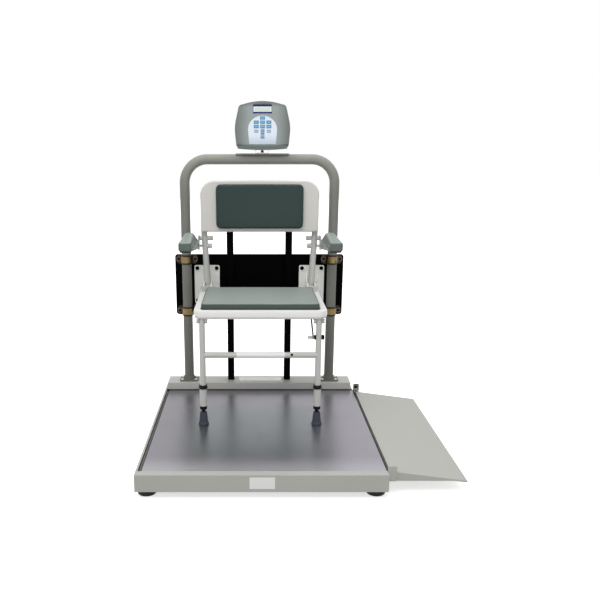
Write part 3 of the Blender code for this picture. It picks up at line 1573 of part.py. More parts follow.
def head_outline(margin):
    """The housing's face: bowed sides, an arched top and a nearly straight foot."""
    foot = (HEAD_FOOT_HALF - margin, margin + HEAD_FOOT_RISE)
    waist = (HEAD_WAIST_HALF - margin, HEAD_WAIST_RISE)
    shoulder = (HEAD_TOP_HALF - margin, HEAD_SHOULDER_RISE - margin)
    right = [foot, waist, shoulder]
    left = [(-u, v) for u, v in reversed(right)]
    radii = [HEAD_FOOT_CORNER, HEAD_WAIST_BEND, HEAD_CORNER]
    turned_side = rounded(right + left, radii + radii[::-1])
    half = len(turned_side) // 2
    top_rise = HEAD_CROWN_RISE - HEAD_SHOULDER_RISE
    top = bow(turned_side[half - 1], turned_side[half], top_rise, BEND_STEPS)
    bottom = bow(turned_side[-1], turned_side[0], HEAD_FOOT_RISE, BEND_STEPS)
    return turned_side[:half] + top + turned_side[half:] + bottom


def build_display_saddle():
    """A plate on top of the rail, hollowed to the tube and bored for the swivel."""
    low = RAIL_CROWN - SADDLE_LIP
    saddle = block(
        "display_saddle",
        around(DISPLAY_X, SADDLE_HALF_WIDTH),
        around(RAIL_Y, SADDLE_HALF_DEPTH),
        (low, SADDLE_TOP),
    )
    bed = rod(
        "saddle_bed",
        (RAIL_RADIUS + GAP) / math.cos(math.pi / FINE_SIDES),
        "X",
        around(DISPLAY_X, SADDLE_HALF_WIDTH + OVERRUN),
        (RAIL_Y, RAIL_TOP),
        FINE_SIDES,
    )
    swivel = rod(
        "saddle_bore",
        SWIVEL_RADIUS + RUNNING_GAP,
        "Z",
        (low, SADDLE_TOP + OVERRUN),
        (DISPLAY_X, RAIL_Y),
    )
    return finished(cut_from(saddle, bed, swivel), bright_steel())


def build_display_yoke(carrier):
    """A fork on a swivel bolt and its nut, with the cross pin that the head tilts on."""
    low = SADDLE_TOP + GAP
    outer = around(DISPLAY_X, YOKE_HALF_SPAN)
    inner = around(DISPLAY_X, YOKE_HALF_SPAN - YOKE_PLATE)
    top = TILT_Z + YOKE_NOSE
    strip = [
        (outer[0], low),
        (outer[1], low),
        (outer[1], top),
        (inner[1], top),
        (inner[1], low + YOKE_BASE),
        (inner[0], low + YOKE_BASE),
        (inner[0], top),
        (outer[0], top),
    ]
    base = plate("display_yoke", strip, "Y", around(RAIL_Y, YOKE_HALF_DEPTH))
    pin = rod(
        "tilt_pin",
        TILT_PIN_RADIUS,
        "X",
        around(DISPLAY_X, YOKE_HALF_SPAN - SINK),
        (RAIL_Y, TILT_Z),
    )
    at = (DISPLAY_X, RAIL_Y)
    floor = low + YOKE_BASE
    nut = (floor - SINK, floor + SWIVEL_NUT_HEIGHT)
    shapes = [
        rod("swivel_stud", SWIVEL_RADIUS, "Z", (SADDLE_TOP - SADDLE_THICKNESS + SINK, low + SINK), at),
        rod("swivel_nut", SWIVEL_NUT_RADIUS, "Z", nut, at, HEXAGON),
        rod("swivel_end", SWIVEL_RADIUS - SINK, "Z", (nut[1] - SINK, SWIVEL_END), at),
    ]
    return finished(join_to(base, *shapes, pin), bright_steel(), carrier)


def build_display_front(carrier):
    """The front housing: a shallow shell with the window's opening, the board's side open."""
    front = head_piece("display_front", head_outline(0), (0, HEAD_FRONT_DEPTH))
    inside = head_piece(
        "display_front_inside",
        head_outline(HEAD_WALL),
        (HEAD_WALL, HEAD_FRONT_DEPTH + OVERRUN),
    )
    window = head_piece(
        "window_opening",
        rectangle(around(0, LCD_HALF_WIDTH), (LCD_BOTTOM, LCD_TOP)),
        (-OVERRUN, HEAD_WALL + OVERRUN),
    )
    return finished(cut_from(front, inside, window), housing_plastic(), carrier)


def build_display_rear(carrier):
    """The rear housing: drawn in towards its back, with board bosses and the tilt lug."""
    start = HEAD_FRONT_DEPTH + GAP
    end = HEAD_FRONT_DEPTH + HEAD_BACK_DEPTH
    rear = head_piece("display_rear", head_outline(0), (start, end))
    taper(rear)
    depth = (start - OVERRUN, end - HEAD_WALL)
    inside = head_piece("display_rear_inside", head_outline(HEAD_WALL), depth)
    taper(inside)
    cut_from(rear, inside)
    heights = {"lower": BOARD_BOTTOM + BOARD_BOSS_INSET, "upper": BOARD_TOP - BOARD_BOSS_INSET}
    boss_depth = (HEAD_FRONT_DEPTH, end - HEAD_WALL + SINK)
    for word, side in SIDES.items():
        along = side * (BOARD_HALF_WIDTH - BOARD_BOSS_INSET)
        for level, height in heights.items():
            name = f"board_boss_{level}_{word}"
            join_to(rear, head_rod(name, BOARD_BOSS_RADIUS, boss_depth, along, height))
    join_to(rear, tilt_lug(end))
    hole = rod(
        "tilt_bore",
        TILT_PIN_RADIUS + RUNNING_GAP,
        "X",
        around(DISPLAY_X, YOKE_HALF_SPAN),
        (RAIL_Y, TILT_Z),
    )
    return finished(cut_from(rear, hole), housing_plastic(), carrier)


def taper(piece):
    """Draws in the back face of a flat piece of the head, about the head's middle."""
    middle = HEAD_SHOULDER_RISE / 2
    for vert in piece.data.vertices:
        if vert.co.z < 0:
            vert.co.x *= 1 - HEAD_DRAFT / HEAD_WAIST_HALF
            vert.co.y -= (vert.co.y - middle) * HEAD_DRAFT / middle


def tilt_lug(face):
    """The block behind the head that turns on the yoke's pin."""
    half = YOKE_HALF_SPAN - YOKE_PLATE - RUNNING_GAP
    nose = TILT_PIN_RADIUS * 2
    low, high = HEAD_PIVOT_RISE - nose, HEAD_PIVOT_RISE + nose
    lug = [
        head_point(0, high, face - SINK).yz,
        head_point(0, low, face - SINK).yz,
    ]
    start = -math.pi / 2 - HEAD_TILT
    lug += arc((RAIL_Y, TILT_Z), nose, start, start + math.pi, 2 * CORNER_STEPS)
    return plate("tilt_lug", lug, "X", around(DISPLAY_X, half))


def build_lcd_window(carrier):
    """The window, set just below the face in its opening."""
    window = head_piece(
        "lcd_window",
        rectangle(around(0, LCD_HALF_WIDTH - GAP), (LCD_BOTTOM + GAP, LCD_TOP - GAP)),
        (LCD_RECESS, HEAD_WALL),
    )
    return finished(window, lcd_glass(), carrier)


def build_keypad(carrier):
    """The printed membrane on the face: a round arch on sides that draw in to the foot."""
    radius = KEYPAD_ARCH_RADIUS
    corners = [
        (-KEYPAD_FOOT_HALF, KEYPAD_BOTTOM),
        (KEYPAD_FOOT_HALF, KEYPAD_BOTTOM),
        (radius, KEYPAD_ARCH_RISE),
        (-radius, KEYPAD_ARCH_RISE),
    ]
    outline = rounded(corners, [KEYPAD_CORNER, KEYPAD_CORNER, 0, 0])
    crown = arc((0, KEYPAD_ARCH_RISE), radius, 0, math.pi, 2 * BEND_STEPS)
    outline = outline[:-1] + crown[1:-1] + outline[-1:]
    membrane = head_piece("keypad", outline, (-GAP - KEYPAD_THICKNESS, -GAP))
    return finished(membrane, key_membrane(), carrier)


def build_display_board(carrier):
    """The circuit board on the rear bosses, with the LCD module behind the window."""
    back = HEAD_FRONT_DEPTH - GAP
    board = head_piece(
        "display_board",
        rectangle(around(0, BOARD_HALF_WIDTH), (BOARD_BOTTOM, BOARD_TOP)),
        (back - BOARD_THICKNESS, back),
    )
    module = head_piece(
        "lcd_module",
        rectangle(around(0, LCD_HALF_WIDTH + HEAD_WALL), (LCD_MODULE_BOTTOM, BOARD_TOP - GAP)),
        (HEAD_WALL + GAP, back - BOARD_THICKNESS + SINK / 2),
    )
    chip = head_piece(
        "weighing_chip",
        rectangle(around(0, BOARD_CHIP_HALF_WIDTH), (BOARD_CHIP_BOTTOM, BOARD_CHIP_TOP)),
        (back - BOARD_THICKNESS - BOARD_CHIP_HEIGHT, back - BOARD_THICKNESS + SINK / 2),
    )
    return finished(join_to(board, module, chip), green_board(), carrier)


# Assembly


def build_base():
    build_platform_frame()
    build_deck_plate()
    build_rear_channel()
    for end in ("front", "rear"):
        for word, side in SIDES.items():
            build_load_cell(f"load_cell_{end}_{word}", side, end)
            build_levelling_foot(f"levelling_foot_{end}_{word}", side, end)
        build_ramp_bracket(f"ramp_bracket_{end}", end)
    build_handrail()
    build_cross_plate()
    heights = {
        "upper": PLATE_TOP - CLAMP_EDGE_INSET,
        "lower": PLATE_BOTTOM + CLAMP_EDGE_INSET,
    }
    for word, side in SIDES.items():
        build_rail_flange(f"rail_flange_{word}", side)
        build_post(f"post_{word}", side)
        for level, height in heights.items():
            build_pipe_clamp(f"pipe_clamp_{level}_{word}", side, height)
        build_seat_bracket(f"seat_bracket_{word}", side)
        build_seat_hinge_pin(f"seat_hinge_pin_{word}", side)
        build_arm_pivot_bolt(f"arm_pivot_bolt_{word}", side)
    build_backrest_frame()
    build_backrest_shell()
    build_backrest_pad()
    build_display_saddle()


def build_chair():
    seat = new_carrier("seat_hinge", (0, HINGE_Y, HINGE_Z), ROOT)
    legs = new_carrier("leg_hinge", (0, LEG_Y, LEG_PIVOT_Z), seat)
    stay = new_carrier("stay_pivot", (STAY_X, LEG_Y, STAY_Z), legs)
    build_seat_shell(seat)
    build_seat_pad(seat)
    build_leg_frame(legs)
    build_stay_bolt(legs)
    build_stay_rod(stay)
    for word, side in SIDES.items():
        build_leg_pivot_bolt(f"leg_pivot_bolt_{word}", side, seat)
        slide = new_carrier(f"leg_slide_{word}", (side * LEG_X, LEG_Y, DECK_TOP), legs)
        build_leg_sleeve(f"leg_sleeve_{word}", side, slide)
        build_leg_collar(f"leg_collar_{word}", side, slide)
        build_leg_stud(f"leg_stud_{word}", side, slide)
        build_leg_tip(f"leg_tip_{word}", side, slide)
        arm = new_carrier(f"arm_hinge_{word}", (0, BACK_TUBE_Y, ARM_PIVOT_Z), ROOT)
        build_arm(f"arm_{word}", side, arm)
        build_arm_pad(f"arm_pad_{word}", side, arm)


def build_ramp():
    hinge = new_carrier("ramp_hinge", (RAMP_HINGE_X, RAMP_FRONT, RAMP_HINGE_Z), ROOT)
    build_ramp_plate(hinge)


def build_display():
    swivel = new_carrier("display_swivel", (DISPLAY_X, RAIL_Y, SADDLE_TOP), ROOT)
    tilt = new_carrier("display_tilt", (DISPLAY_X, RAIL_Y, TILT_Z), swivel)
    build_display_yoke(swivel)
    build_display_front(tilt)
    build_display_rear(tilt)
    build_display_board(tilt)
    build_lcd_window(tilt)
    build_keypad(tilt)


build_base()
build_chair()
build_ramp()
build_display()
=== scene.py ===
"""Looks of the wheelchair scale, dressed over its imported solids.

Places are written in the platform's own frame: X to the right from its centre line, Y back
from its front edge and Z up from its front lip. Lengths are in metres.
"""

import math
from types import SimpleNamespace

import bmesh
import bpy
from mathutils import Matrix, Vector


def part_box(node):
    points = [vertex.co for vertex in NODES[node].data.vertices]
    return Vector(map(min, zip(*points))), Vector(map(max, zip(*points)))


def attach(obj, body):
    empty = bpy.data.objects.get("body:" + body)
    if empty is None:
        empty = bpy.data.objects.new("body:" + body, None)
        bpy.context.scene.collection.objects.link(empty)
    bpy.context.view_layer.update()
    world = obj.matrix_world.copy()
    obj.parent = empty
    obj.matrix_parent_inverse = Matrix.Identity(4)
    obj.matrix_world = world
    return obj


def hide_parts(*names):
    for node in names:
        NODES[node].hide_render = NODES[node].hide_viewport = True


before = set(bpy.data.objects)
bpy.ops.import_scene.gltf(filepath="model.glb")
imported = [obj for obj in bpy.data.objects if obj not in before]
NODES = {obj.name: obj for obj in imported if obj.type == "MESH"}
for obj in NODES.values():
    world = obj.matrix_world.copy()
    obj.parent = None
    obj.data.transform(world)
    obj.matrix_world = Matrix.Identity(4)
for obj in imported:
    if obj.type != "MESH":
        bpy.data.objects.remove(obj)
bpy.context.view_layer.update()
PLATFORM_LOW, PLATFORM_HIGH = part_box("platform_frame")
ORIGIN = Vector(((PLATFORM_LOW.x + PLATFORM_HIGH.x) / 2, PLATFORM_LOW.y, PLATFORM_HIGH.z))
SIDES = ("left", "right")
ENDS = ("front", "rear")


def at(x, y, z):
    """A point of the platform's frame, in the frame that the solids are packed in."""
    return ORIGIN + Vector((x, y, z))


# Places and sizes that more than one piece uses
CHANNEL_TOP = 0.0293
RAIL_Y = 0.868
RAIL_TOP = 0.9644
RAIL_RADIUS = 0.02
RAIL_HALF_SPAN = 0.305
CLAMP_HEIGHTS = {"upper": 0.5585, "lower": 0.3375}
CLAMP_INNER, CLAMP_OUTER, CLAMP_REACH = 0.0195, 0.0223, 0.045
BACKREST_Y = 0.83
BACKREST_HALF_SPAN = 0.2275
LEG_X = 0.213
LEG_Y = 0.43
LEG_BAR = (LEG_Y, 0.27025)
STAY_BOLT = (LEG_Y, 0.338)
ARM_X = -0.2705
DISPLAY_X = 0.0105
TILT_Z = 1.0185
HEAD_TILT = math.radians(22)
FACE_AHEAD, FACE_BELOW = 0.0709, 0.0281


def head_at(along, above, back):
    """A point of the head before it is tilted: along, above and back from its face's foot."""
    return at(DISPLAY_X + along, RAIL_Y + back - FACE_AHEAD, TILT_Z + above - FACE_BELOW)


# Modelling: selection, edit mode and finishing


def hold(piece):
    """Leaves one piece selected and active."""
    bpy.ops.object.select_all(action="DESELECT")
    piece.select_set(True)
    bpy.context.view_layer.objects.active = piece
    return piece


def named(name):
    """The primitive that was just added, under its own name."""
    piece = bpy.context.object
    piece.name = piece.data.name = name
    return piece


def settle(piece):
    """Moves a piece's place, turn and size into its mesh."""
    hold(piece)
    bpy.ops.object.transform_apply(location=True, rotation=True, scale=True)
    return piece


class Editing:
    """Edit mode on one piece, where faces, edges and points are chosen by place or normal."""

    def __init__(self, piece):
        self.piece = piece

    def __enter__(self):
        hold(self.piece)
        bpy.ops.object.mode_set(mode="EDIT")
        self.everything()
        return self

    def __exit__(self, *problem):
        bpy.ops.object.mode_set(mode="OBJECT")

    def everything(self):
        bpy.ops.mesh.select_mode(type="VERT")
        bpy.ops.mesh.select_all(action="SELECT")

    def choose(self, kind, test):
        """Selects only the elements of one kind whose test holds."""
        bpy.ops.mesh.select_mode(type=kind)
        bpy.ops.mesh.select_all(action="DESELECT")
        form = bmesh.from_edit_mesh(self.piece.data)
        form.normal_update()
        for element in {"VERT": form.verts, "EDGE": form.edges, "FACE": form.faces}[kind]:
            if test(element):
                element.select_set(True)
        form.select_flush_mode()
        bmesh.update_edit_mesh(self.piece.data)

    def extrude(self, *by):
        bpy.ops.mesh.extrude_region_move(TRANSFORM_OT_translate={"value": by})

    def resize(self, factors, centre):
        bpy.ops.transform.resize(value=factors, center_override=tuple(centre))

    def bevel(self, width, segments):
        bpy.ops.mesh.bevel(offset=width, segments=segments, profile=0.5, affect="EDGES")

    def close(self):
        """Merges doubles, fills the open ends and points the faces outwards."""
        self.everything()
        bpy.ops.mesh.remove_doubles(threshold=0.000001)
        bpy.ops.mesh.fill_holes(sides=0)
        bpy.ops.mesh.normals_make_consistent(inside=False)


def runs_along(edge, axis):
    """True of an edge that runs along one of the three axes."""
    step = edge.verts[1].co - edge.verts[0].co
    return abs(step[axis]) > 0.99 * step.length


def modify(piece, kind, **settings):
    """Adds a modifier of one kind, sets it up and applies it."""
    added = piece.modifiers.new(kind.title(), kind)
    for key, value in settings.items():
        setattr(added, key, value)
    hold(piece)
    bpy.ops.object.modifier_apply(modifier=added.name)


def shade(piece, angle=40):
    """Smooth shading that keeps edges sharper than the angle, weighted by face area."""
    hold(piece)
    bpy.ops.object.shade_smooth_by_angle(angle=math.radians(angle))
    modify(piece, "WEIGHTED_NORMAL", keep_sharp=True)
    return piece


def soften(piece, width, segments=3, angle=35):
    """Rounds the edges that are sharper than the angle."""
    limit = math.radians(angle)
    modify(
        piece, "BEVEL", width=width, segments=segments, limit_method="ANGLE", angle_limit=limit
    )
    return shade(piece, angle)


def slab(name, x, y, z):
    """A box between the low and the high value of each pair, in the platform's frame."""
    low, high = at(x[0], y[0], z[0]), at(x[1], y[1], z[1])
    bpy.ops.mesh.primitive_cube_add(size=1, location=(low + high) / 2, scale=high - low)
    return settle(named(name))


def ring(name, radius, sides, place=(0, 0, 0), turn=(0, 0, 0), fill="NOTHING"):
    """A circle of edges, open unless it is filled."""
    bpy.ops.mesh.primitive_circle_add(
        vertices=sides, radius=radius, fill_type=fill, location=place, rotation=turn
    )
    return settle(named(name))


def cut_out(name, points):
    """A flat face with the given outline, shaped from a disc."""
    piece = ring(name, 0.1, len(points), fill="NGON")
    for vert, point in zip(piece.data.vertices, points):
        vert.co = point
    return piece


def sheet_form(name, points, by, edge=0.0, segments=3):
    """A flat outline given a thickness, with its edges rounded."""
    piece = cut_out(name, points)
    with Editing(piece) as edit:
        edit.extrude(*by)
        edit.close()
    return soften(piece, edge, segments) if edge else shade(piece)


def lathe(name, profile, sides):
    """A ring extruded and resized up the Z axis through (radius, height) steps."""
    piece = ring(name, profile[0][0], sides, (0, 0, profile[0][1]))
    with Editing(piece) as edit:
        for (radius, height), (before, level) in zip(profile[1:], profile):
            edit.extrude(0, 0, height - level)
            edit.resize((radius / before, radius / before, 1), (0, 0, height))
        edit.close()
    return piece


def stand(piece, axis, base):
    """Turns a form that was made along Z to an axis, and puts its foot at a place."""
    turns = {"X": (0, math.pi / 2, 0), "Y": (-math.pi / 2, 0, 0), "Z": (0, 0, 0)}
    piece.rotation_euler = turns[axis]
    piece.location = base
    return settle(piece)


def turning(name, base, profile, axis="Z", sides=48, angle=35):
    """A round form about an axis, from (radius, height) steps."""
    return shade(stand(lathe(name, profile, sides), axis, base), angle)


def pipe(name, radius, start, heading, moves, sides=48):
    """A bent tube: a ring extruded along straight runs and spun round bends.

    A move is ("run", vector) or ("bend", centre, axis, angle in degrees, steps).
    """
    turn = Vector((0, 0, 1)).rotation_difference(Vector(heading)).to_euler()
    piece = ring(name, radius, sides, start, turn)
    with Editing(piece) as edit:
        for kind, *move in moves:
            if kind == "run":
                edit.extrude(*move[0])
            else:
                centre, axis, angle, steps = move
                bpy.ops.mesh.spin(
                    steps=steps, angle=-math.radians(angle), center=centre, axis=axis
                )
        edit.close()
    return shade(piece)


def over_the_top(half, y, straight, bend, steps):
    """The moves of a tube over an arch: a bend, a level run and a second bend."""
    return [
        ("bend", at(bend - half, y, straight), (0, 1, 0), 90, steps),
        ("run", (2 * (half - bend), 0, 0)),
        ("bend", at(half - bend, y, straight), (0, 1, 0), 90, steps),
    ]


def joined(name, pieces):
    """One piece made of several."""
    hold(pieces[0])
    for piece in pieces:
        piece.select_set(True)
    bpy.ops.object.join()
    return named(name)


def copy_of(piece, name, by=(0, 0, 0)):
    """A copy with its own mesh, moved by a vector."""
    hold(piece)
    bpy.ops.object.duplicate(linked=False)
    twin = named(name)
    twin.location = by
    return settle(twin)


def repeated(piece, name, moves):
    """One piece made of a part and its copies, each moved from it by a vector."""
    copies = [copy_of(piece, name, by) for by in moves]
    return joined(name, [piece] + copies) if copies else piece


def both_sides(piece, stem, angle=40):
    """A left-hand piece and its mirror image on the right, each with its own mesh."""
    twin = copy_of(piece, f"{stem}_right")
    for vert in twin.data.vertices:
        vert.co.x = 2 * ORIGIN.x - vert.co.x
    with Editing(twin):
        bpy.ops.mesh.flip_normals()
    piece.name = piece.data.name = f"{stem}_left"
    return {"left": piece, "right": shade(twin, angle)}


def softened_copy(node, name, width, segments=2, angle=35):
    """A CAD node's own shape with its edges rounded."""
    hold(NODES[node])
    bpy.ops.object.duplicate(linked=False)
    piece = named(name)
    for key in list(piece.keys()):
        del piece[key]
    piece.parent = None
    with Editing(piece):
        bpy.ops.mesh.remove_doubles(threshold=0.000002)
        bpy.ops.mesh.dissolve_limited(angle_limit=math.radians(1))
    return soften(piece, width, segments, angle)


def paint_with(finish, data):
    data.materials.clear()
    data.materials.append(finish)


def dress(piece, finish, slot, body, *nodes):
    """Gives a piece its material, the body it rides on and the nodes it stands for. The slot is
    not used.
    """
    paint_with(finish, piece.data)
    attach(piece, body)
    if nodes:
        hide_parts(*nodes)


def dress_sides(piece, stem, finish, slot, body="base", node="", angle=40):
    """Dresses a left-hand piece and its mirror image. A brace pair stands for the side."""
    for side, one in both_sides(piece, stem, angle).items():
        dress(one, finish, slot, body.format(side), *([node.format(side)] if node else []))


def dress_copy(node, name, width, finish, slot, body="base", segments=2):
    """Dresses the softened copy of a CAD node in that node's place."""
    dress(softened_copy(node, name, width, segments), finish, slot, body, node)


# Materials


def ink(red, green, blue):
    """The linear colour of three screen values from 0 to 255."""
    return tuple(
        value / 255 / 12.92 if value <= 10 else ((value / 255 + 0.055) / 1.055) ** 2.4
        for value in (red, green, blue)
    )


def maths_node(operation, swapped=False):
    """A method that joins a level and another value in a maths node."""

    def method(self, other):
        pair = (other, self) if swapped else (self, other)
        return self.home.maths(operation, *pair)

    return method


class Level:
    """A number that varies over a surface, so that sums on it are written as sums."""

    __add__ = __radd__ = maths_node("ADD")
    __mul__ = __rmul__ = maths_node("MULTIPLY")
    __sub__ = maths_node("SUBTRACT")
    __rsub__ = maths_node("SUBTRACT", swapped=True)
    __gt__ = maths_node("GREATER_THAN")
    __lt__ = maths_node("LESS_THAN")

    def __init__(self, home, socket):
        self.home = home
        self.socket = socket

    def __abs__(self):
        return self.home.maths("ABSOLUTE", self)


class Nodes:
    """A node tree that is filled node by node."""

    def __init__(self, tree):
        self.tree = tree

    def put(self, socket, value):
        """Links a level to a socket, or sets the socket to a plain value."""
        if isinstance(value, Level):
            self.tree.links.new(value.socket, socket)
        else:
            socket.default_value = value

    def node(self, kind, inputs=None, output=0, **settings):
        """Adds a node with its settings, and the values or links of its sockets."""
        made = self.tree.nodes.new(f"ShaderNode{kind}")
        for key, value in settings.items():
            setattr(made, key, value)
        for key, value in (inputs or {}).items():
            self.put(made.inputs[key], value)
        return Level(self, made.outputs[output])

    def maths(self, operation, *values):
        return self.node("Math", dict(enumerate(values)), operation=operation)

    def rays(self, *kinds):
        """Levels that are 1 for rays of one kind, such as the camera's."""
        return [self.node("LightPath", output=f"Is {kind} Ray") for kind in kinds]


class Finish(Nodes):
    """A material: one Principled shader and the nodes that vary it over the surface."""

    def __init__(self, name, colour, roughness, metallic=0.0, **constants):
        self.material = bpy.data.materials.new(name)
        self.material.use_nodes = True
        super().__init__(self.material.node_tree)
        self.colour = (*colour, 1)
        self.feed(Base_Color=self.colour, Roughness=roughness, Metallic=metallic, **constants)
        self.place = self.node("TexCoord", output="Object")

    def held(self, value):
        """A level kept between 0 and 1."""
        return self.node("Clamp", {"Value": value})

    def step_between(self, value, low, high):
        """0 below the first value, 1 above the second, smooth between."""
        inputs = {"Value": value, "From Min": low, "From Max": high}
        return self.node("MapRange", inputs, interpolation_type="SMOOTHSTEP")

    def mapped(self, stretch=(1, 1, 1)):
        return self.node("Mapping", {"Vector": self.place, "Scale": stretch})

    def noise(self, scale, stretch=(1, 1, 1), detail=2.0, roughness=0.5):
        """Cloudy noise from 0 to 1, with so many features to the metre."""
        inputs = {"Scale": scale, "Detail": detail, "Roughness": roughness}
        return self.node("TexNoise", {"Vector": self.mapped(stretch), **inputs})

    def axis(self, name):
        """One coordinate of the surface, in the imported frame."""
        return self.node("SeparateXYZ", {0: self.place}, name)

    def within(self, name, low, high):
        """1 where a coordinate lies between two values, 0 elsewhere."""
        level = self.axis(name)
        return (level > low) * (level < high)

    def mix(self, share, *colours):
        """A colour between two others."""
        first, second = (
            colour if isinstance(colour, Level) else (*colour[:3], 1) for colour in colours
        )
        return self.node("Mix", {0: share, 6: first, 7: second}, 2, data_type="RGBA")

    def tinted(self, factor):
        """The base colour made lighter or darker by a factor."""
        return tuple(min(1.0, value * factor) for value in self.colour[:3])

    def feed(self, **sockets):
        shader = self.tree.nodes["Principled BSDF"]
        for socket, value in sockets.items():
            self.put(shader.inputs[socket.replace("_", " ")], value)

    def done(self, tone, roughness, height=None, depth=0.0, strength=1.0, **sockets):
        """The material, once its shader has a tone, a roughness and a relief so deep."""
        self.feed(Base_Color=tone, Roughness=roughness, **sockets)
        if depth:
            relief = {"Height": height, "Distance": depth, "Strength": strength}
            self.feed(Normal=self.node("Bump", relief))
        return self.material


EVEN = (1, 1, 1)


def grained(name, colour, roughness, metallic, grain, tones, dull, relief=(0.0,), **constants):
    """A finish that one noise varies in tone and in gloss, with a fine relief.

    The grain is the noise's scale, stretch and detail. The tones are two factors of the
    colour, or two colours. Dull is the least roughness and what the noise adds to it. The
    relief is its depth, then the scale and detail of a noise of its own if it has one.
    """
    coat = Finish(name, colour, roughness, metallic, **constants)
    level = coat.noise(*grain)
    shades = [coat.tinted(tone) if isinstance(tone, float) else tone for tone in tones]
    depth, *own = relief
    height = coat.noise(own[0], detail=own[1]) if own else level
    return coat.done(coat.mix(level, *shades), dull[0] + level * dull[1], height, depth)


def white_enamel(name, *colour):
    """Sprayed paint: a slight orange peel, faint clouds and dust in the finish."""
    coat = Finish(name, ink(*colour), 0.32)
    clouds = coat.noise(9, detail=3)
    specks = coat.noise(700, detail=1)
    tone = coat.mix(clouds, coat.tinted(0.97), coat.tinted(1.03))
    roughness = 0.27 + clouds * 0.06 + specks * 0.04
    return coat.done(tone, roughness, coat.noise(420, detail=2), 0.00002)


def white_moulding(name, *colour):
    """A smooth white moulding with a fine spark finish."""
    grain, tones, dull = (5, EVEN, 2), (0.985, 1.01), (0.32, 0.06)
    return grained(name, ink(*colour), 0.34, 0.0, grain, tones, dull, (0.00001, 1500, 2))


def two_tone_zinc(name, low, high):
    """Zinc plate that a noise varies between two tones; the dark copy is painted shade on the
    clamp straps' ears.
    """
    relief = (0.00002, 900, 2)
    return grained(name, high, 0.35, 0.8, (120, EVEN, 4), (low, high), (0.26, 0.2), relief)


def rubber(name, *colour):
    """Moulded rubber, dusty in its hollows."""
    grain, tones, dull, relief = (45, EVEN, 4), (0.8, 1.35), (0.62, 0.2), (0.00005, 650, 3)
    return grained(
        name, ink(*colour), 0.7, 0.0, grain, tones, dull, relief, Specular_IOR_Level=0.35
    )


def glossy(name, colour, roughness=0.2, **constants):
    """Printed or clear plastic with the faintest cloudiness."""
    grain, tones, dull = (60, EVEN, 2), (0.92, 1.06), (roughness, 0.08)
    return grained(name, colour, roughness, 0.0, grain, tones, dull, **constants)


def rail_paint():
    """Grey paint on the rail, with painted shade darker down its uprights and a painted highlight
    over the top.
    """
    coat = Finish("rail_paint", ink(142, 143, 135), 0.42, Specular_IOR_Level=0.3)
    clouds = coat.noise(9, detail=3)
    streaks = coat.noise(160, (1, 1, 0.06), detail=2)
    # Painted shade down the uprights and a painted highlight over the crown, both set by height
    rise = coat.step_between(coat.axis("Z"), 0.1, 0.8)
    crown = coat.step_between(coat.axis("Z"), 0.9, 1.04)
    upright = coat.mix(rise, coat.tinted(0.5), coat.tinted(0.74))
    lit_and_shaded_tone = coat.mix(crown, upright, coat.tinted(1.08))
    tone = coat.mix(clouds * 0.12 + streaks * 0.08, lit_and_shaded_tone, coat.tinted(1.25))
    roughness = 0.44 + clouds * 0.08 + streaks * 0.04
    return coat.done(tone, roughness, coat.noise(420, detail=2), 0.00002)


def frame_paint(name, *colour):
    """Platform paint with faint scuffs, and a blank label on the front face."""
    coat = Finish(name, ink(*colour), 0.45)
    clouds = coat.noise(7, detail=3)
    scuffs = coat.step_between(coat.noise(60, (1, 6, 6), detail=6, roughness=0.7), 0.66, 0.8)
    base = coat.mix(clouds, coat.tinted(0.95), coat.tinted(1.04))
    low, high = at(-0.0386, 0.0, -0.0477), at(0.0425, 0.001, -0.0074)
    label = coat.within("X", low.x, high.x) * coat.within("Z", low.z, high.z)
    base = coat.mix(label * (coat.axis("Y") < high.y), base, ink(236, 236, 234))
    tone = coat.mix(scuffs * 0.18, base, coat.tinted(0.7))
    roughness = 0.4 + clouds * 0.08 + scuffs * 0.12
    return coat.done(tone, roughness, coat.noise(420, detail=2), 0.00002)


def brushed_deck():
    """Rolled metal brushed from side to side, with a painted reflection of the chair making its
    middle greener, a painted pool of light near its front and painted shade to the left.
    """
    deck = Finish("brushed_deck", ink(152, 150, 157), 0.3, 0.85)
    grain = deck.noise(900, (0.012, 1, 1), detail=3, roughness=0.6)
    fine = deck.noise(2600, (0.008, 1, 1), detail=2)
    clouds = deck.noise(4, detail=3)
    wear = deck.step_between(deck.noise(11, detail=5, roughness=0.65), 0.45, 0.75)
    # Painted reflection: a greener, darker patch in the middle, where the chair and its cross
    # plate would reflect
    centre = at(-0.02, 0.35, 0)
    aside = deck.step_between(abs(deck.axis("X") - centre.x), 0.16, 0.34)
    along = deck.step_between(abs(deck.axis("Y") - centre.y), 0.16, 0.36)
    # Painted shade darker to the left, and a painted pool of light along the front edge, where
    # the metal is also made less metallic
    rightwards = deck.step_between(deck.axis("X"), at(-0.4, 0, 0).x, at(0.15, 0, 0).x)
    near = deck.step_between(at(0, 0.16, 0).y - deck.axis("Y"), 0.0, 0.13)
    shaded_leftwards = deck.mix(rightwards, ink(127, 124, 130), ink(147, 144, 152))
    plain = deck.mix(deck.held(aside + along), ink(120, 129, 129), shaded_leftwards)
    lit = deck.mix(near * 0.7, plain, ink(186, 184, 190))
    tone = deck.mix(deck.held(grain * 0.4 + clouds * 0.3), lit, deck.tinted(1.2))
    roughness = 0.24 + grain * 0.12 + wear * 0.06
    height, metallic = grain + fine * 0.5, 0.85 - near * 0.4
    return deck.done(tone, roughness, height, 0.00006, 0.6, Metallic=metallic)


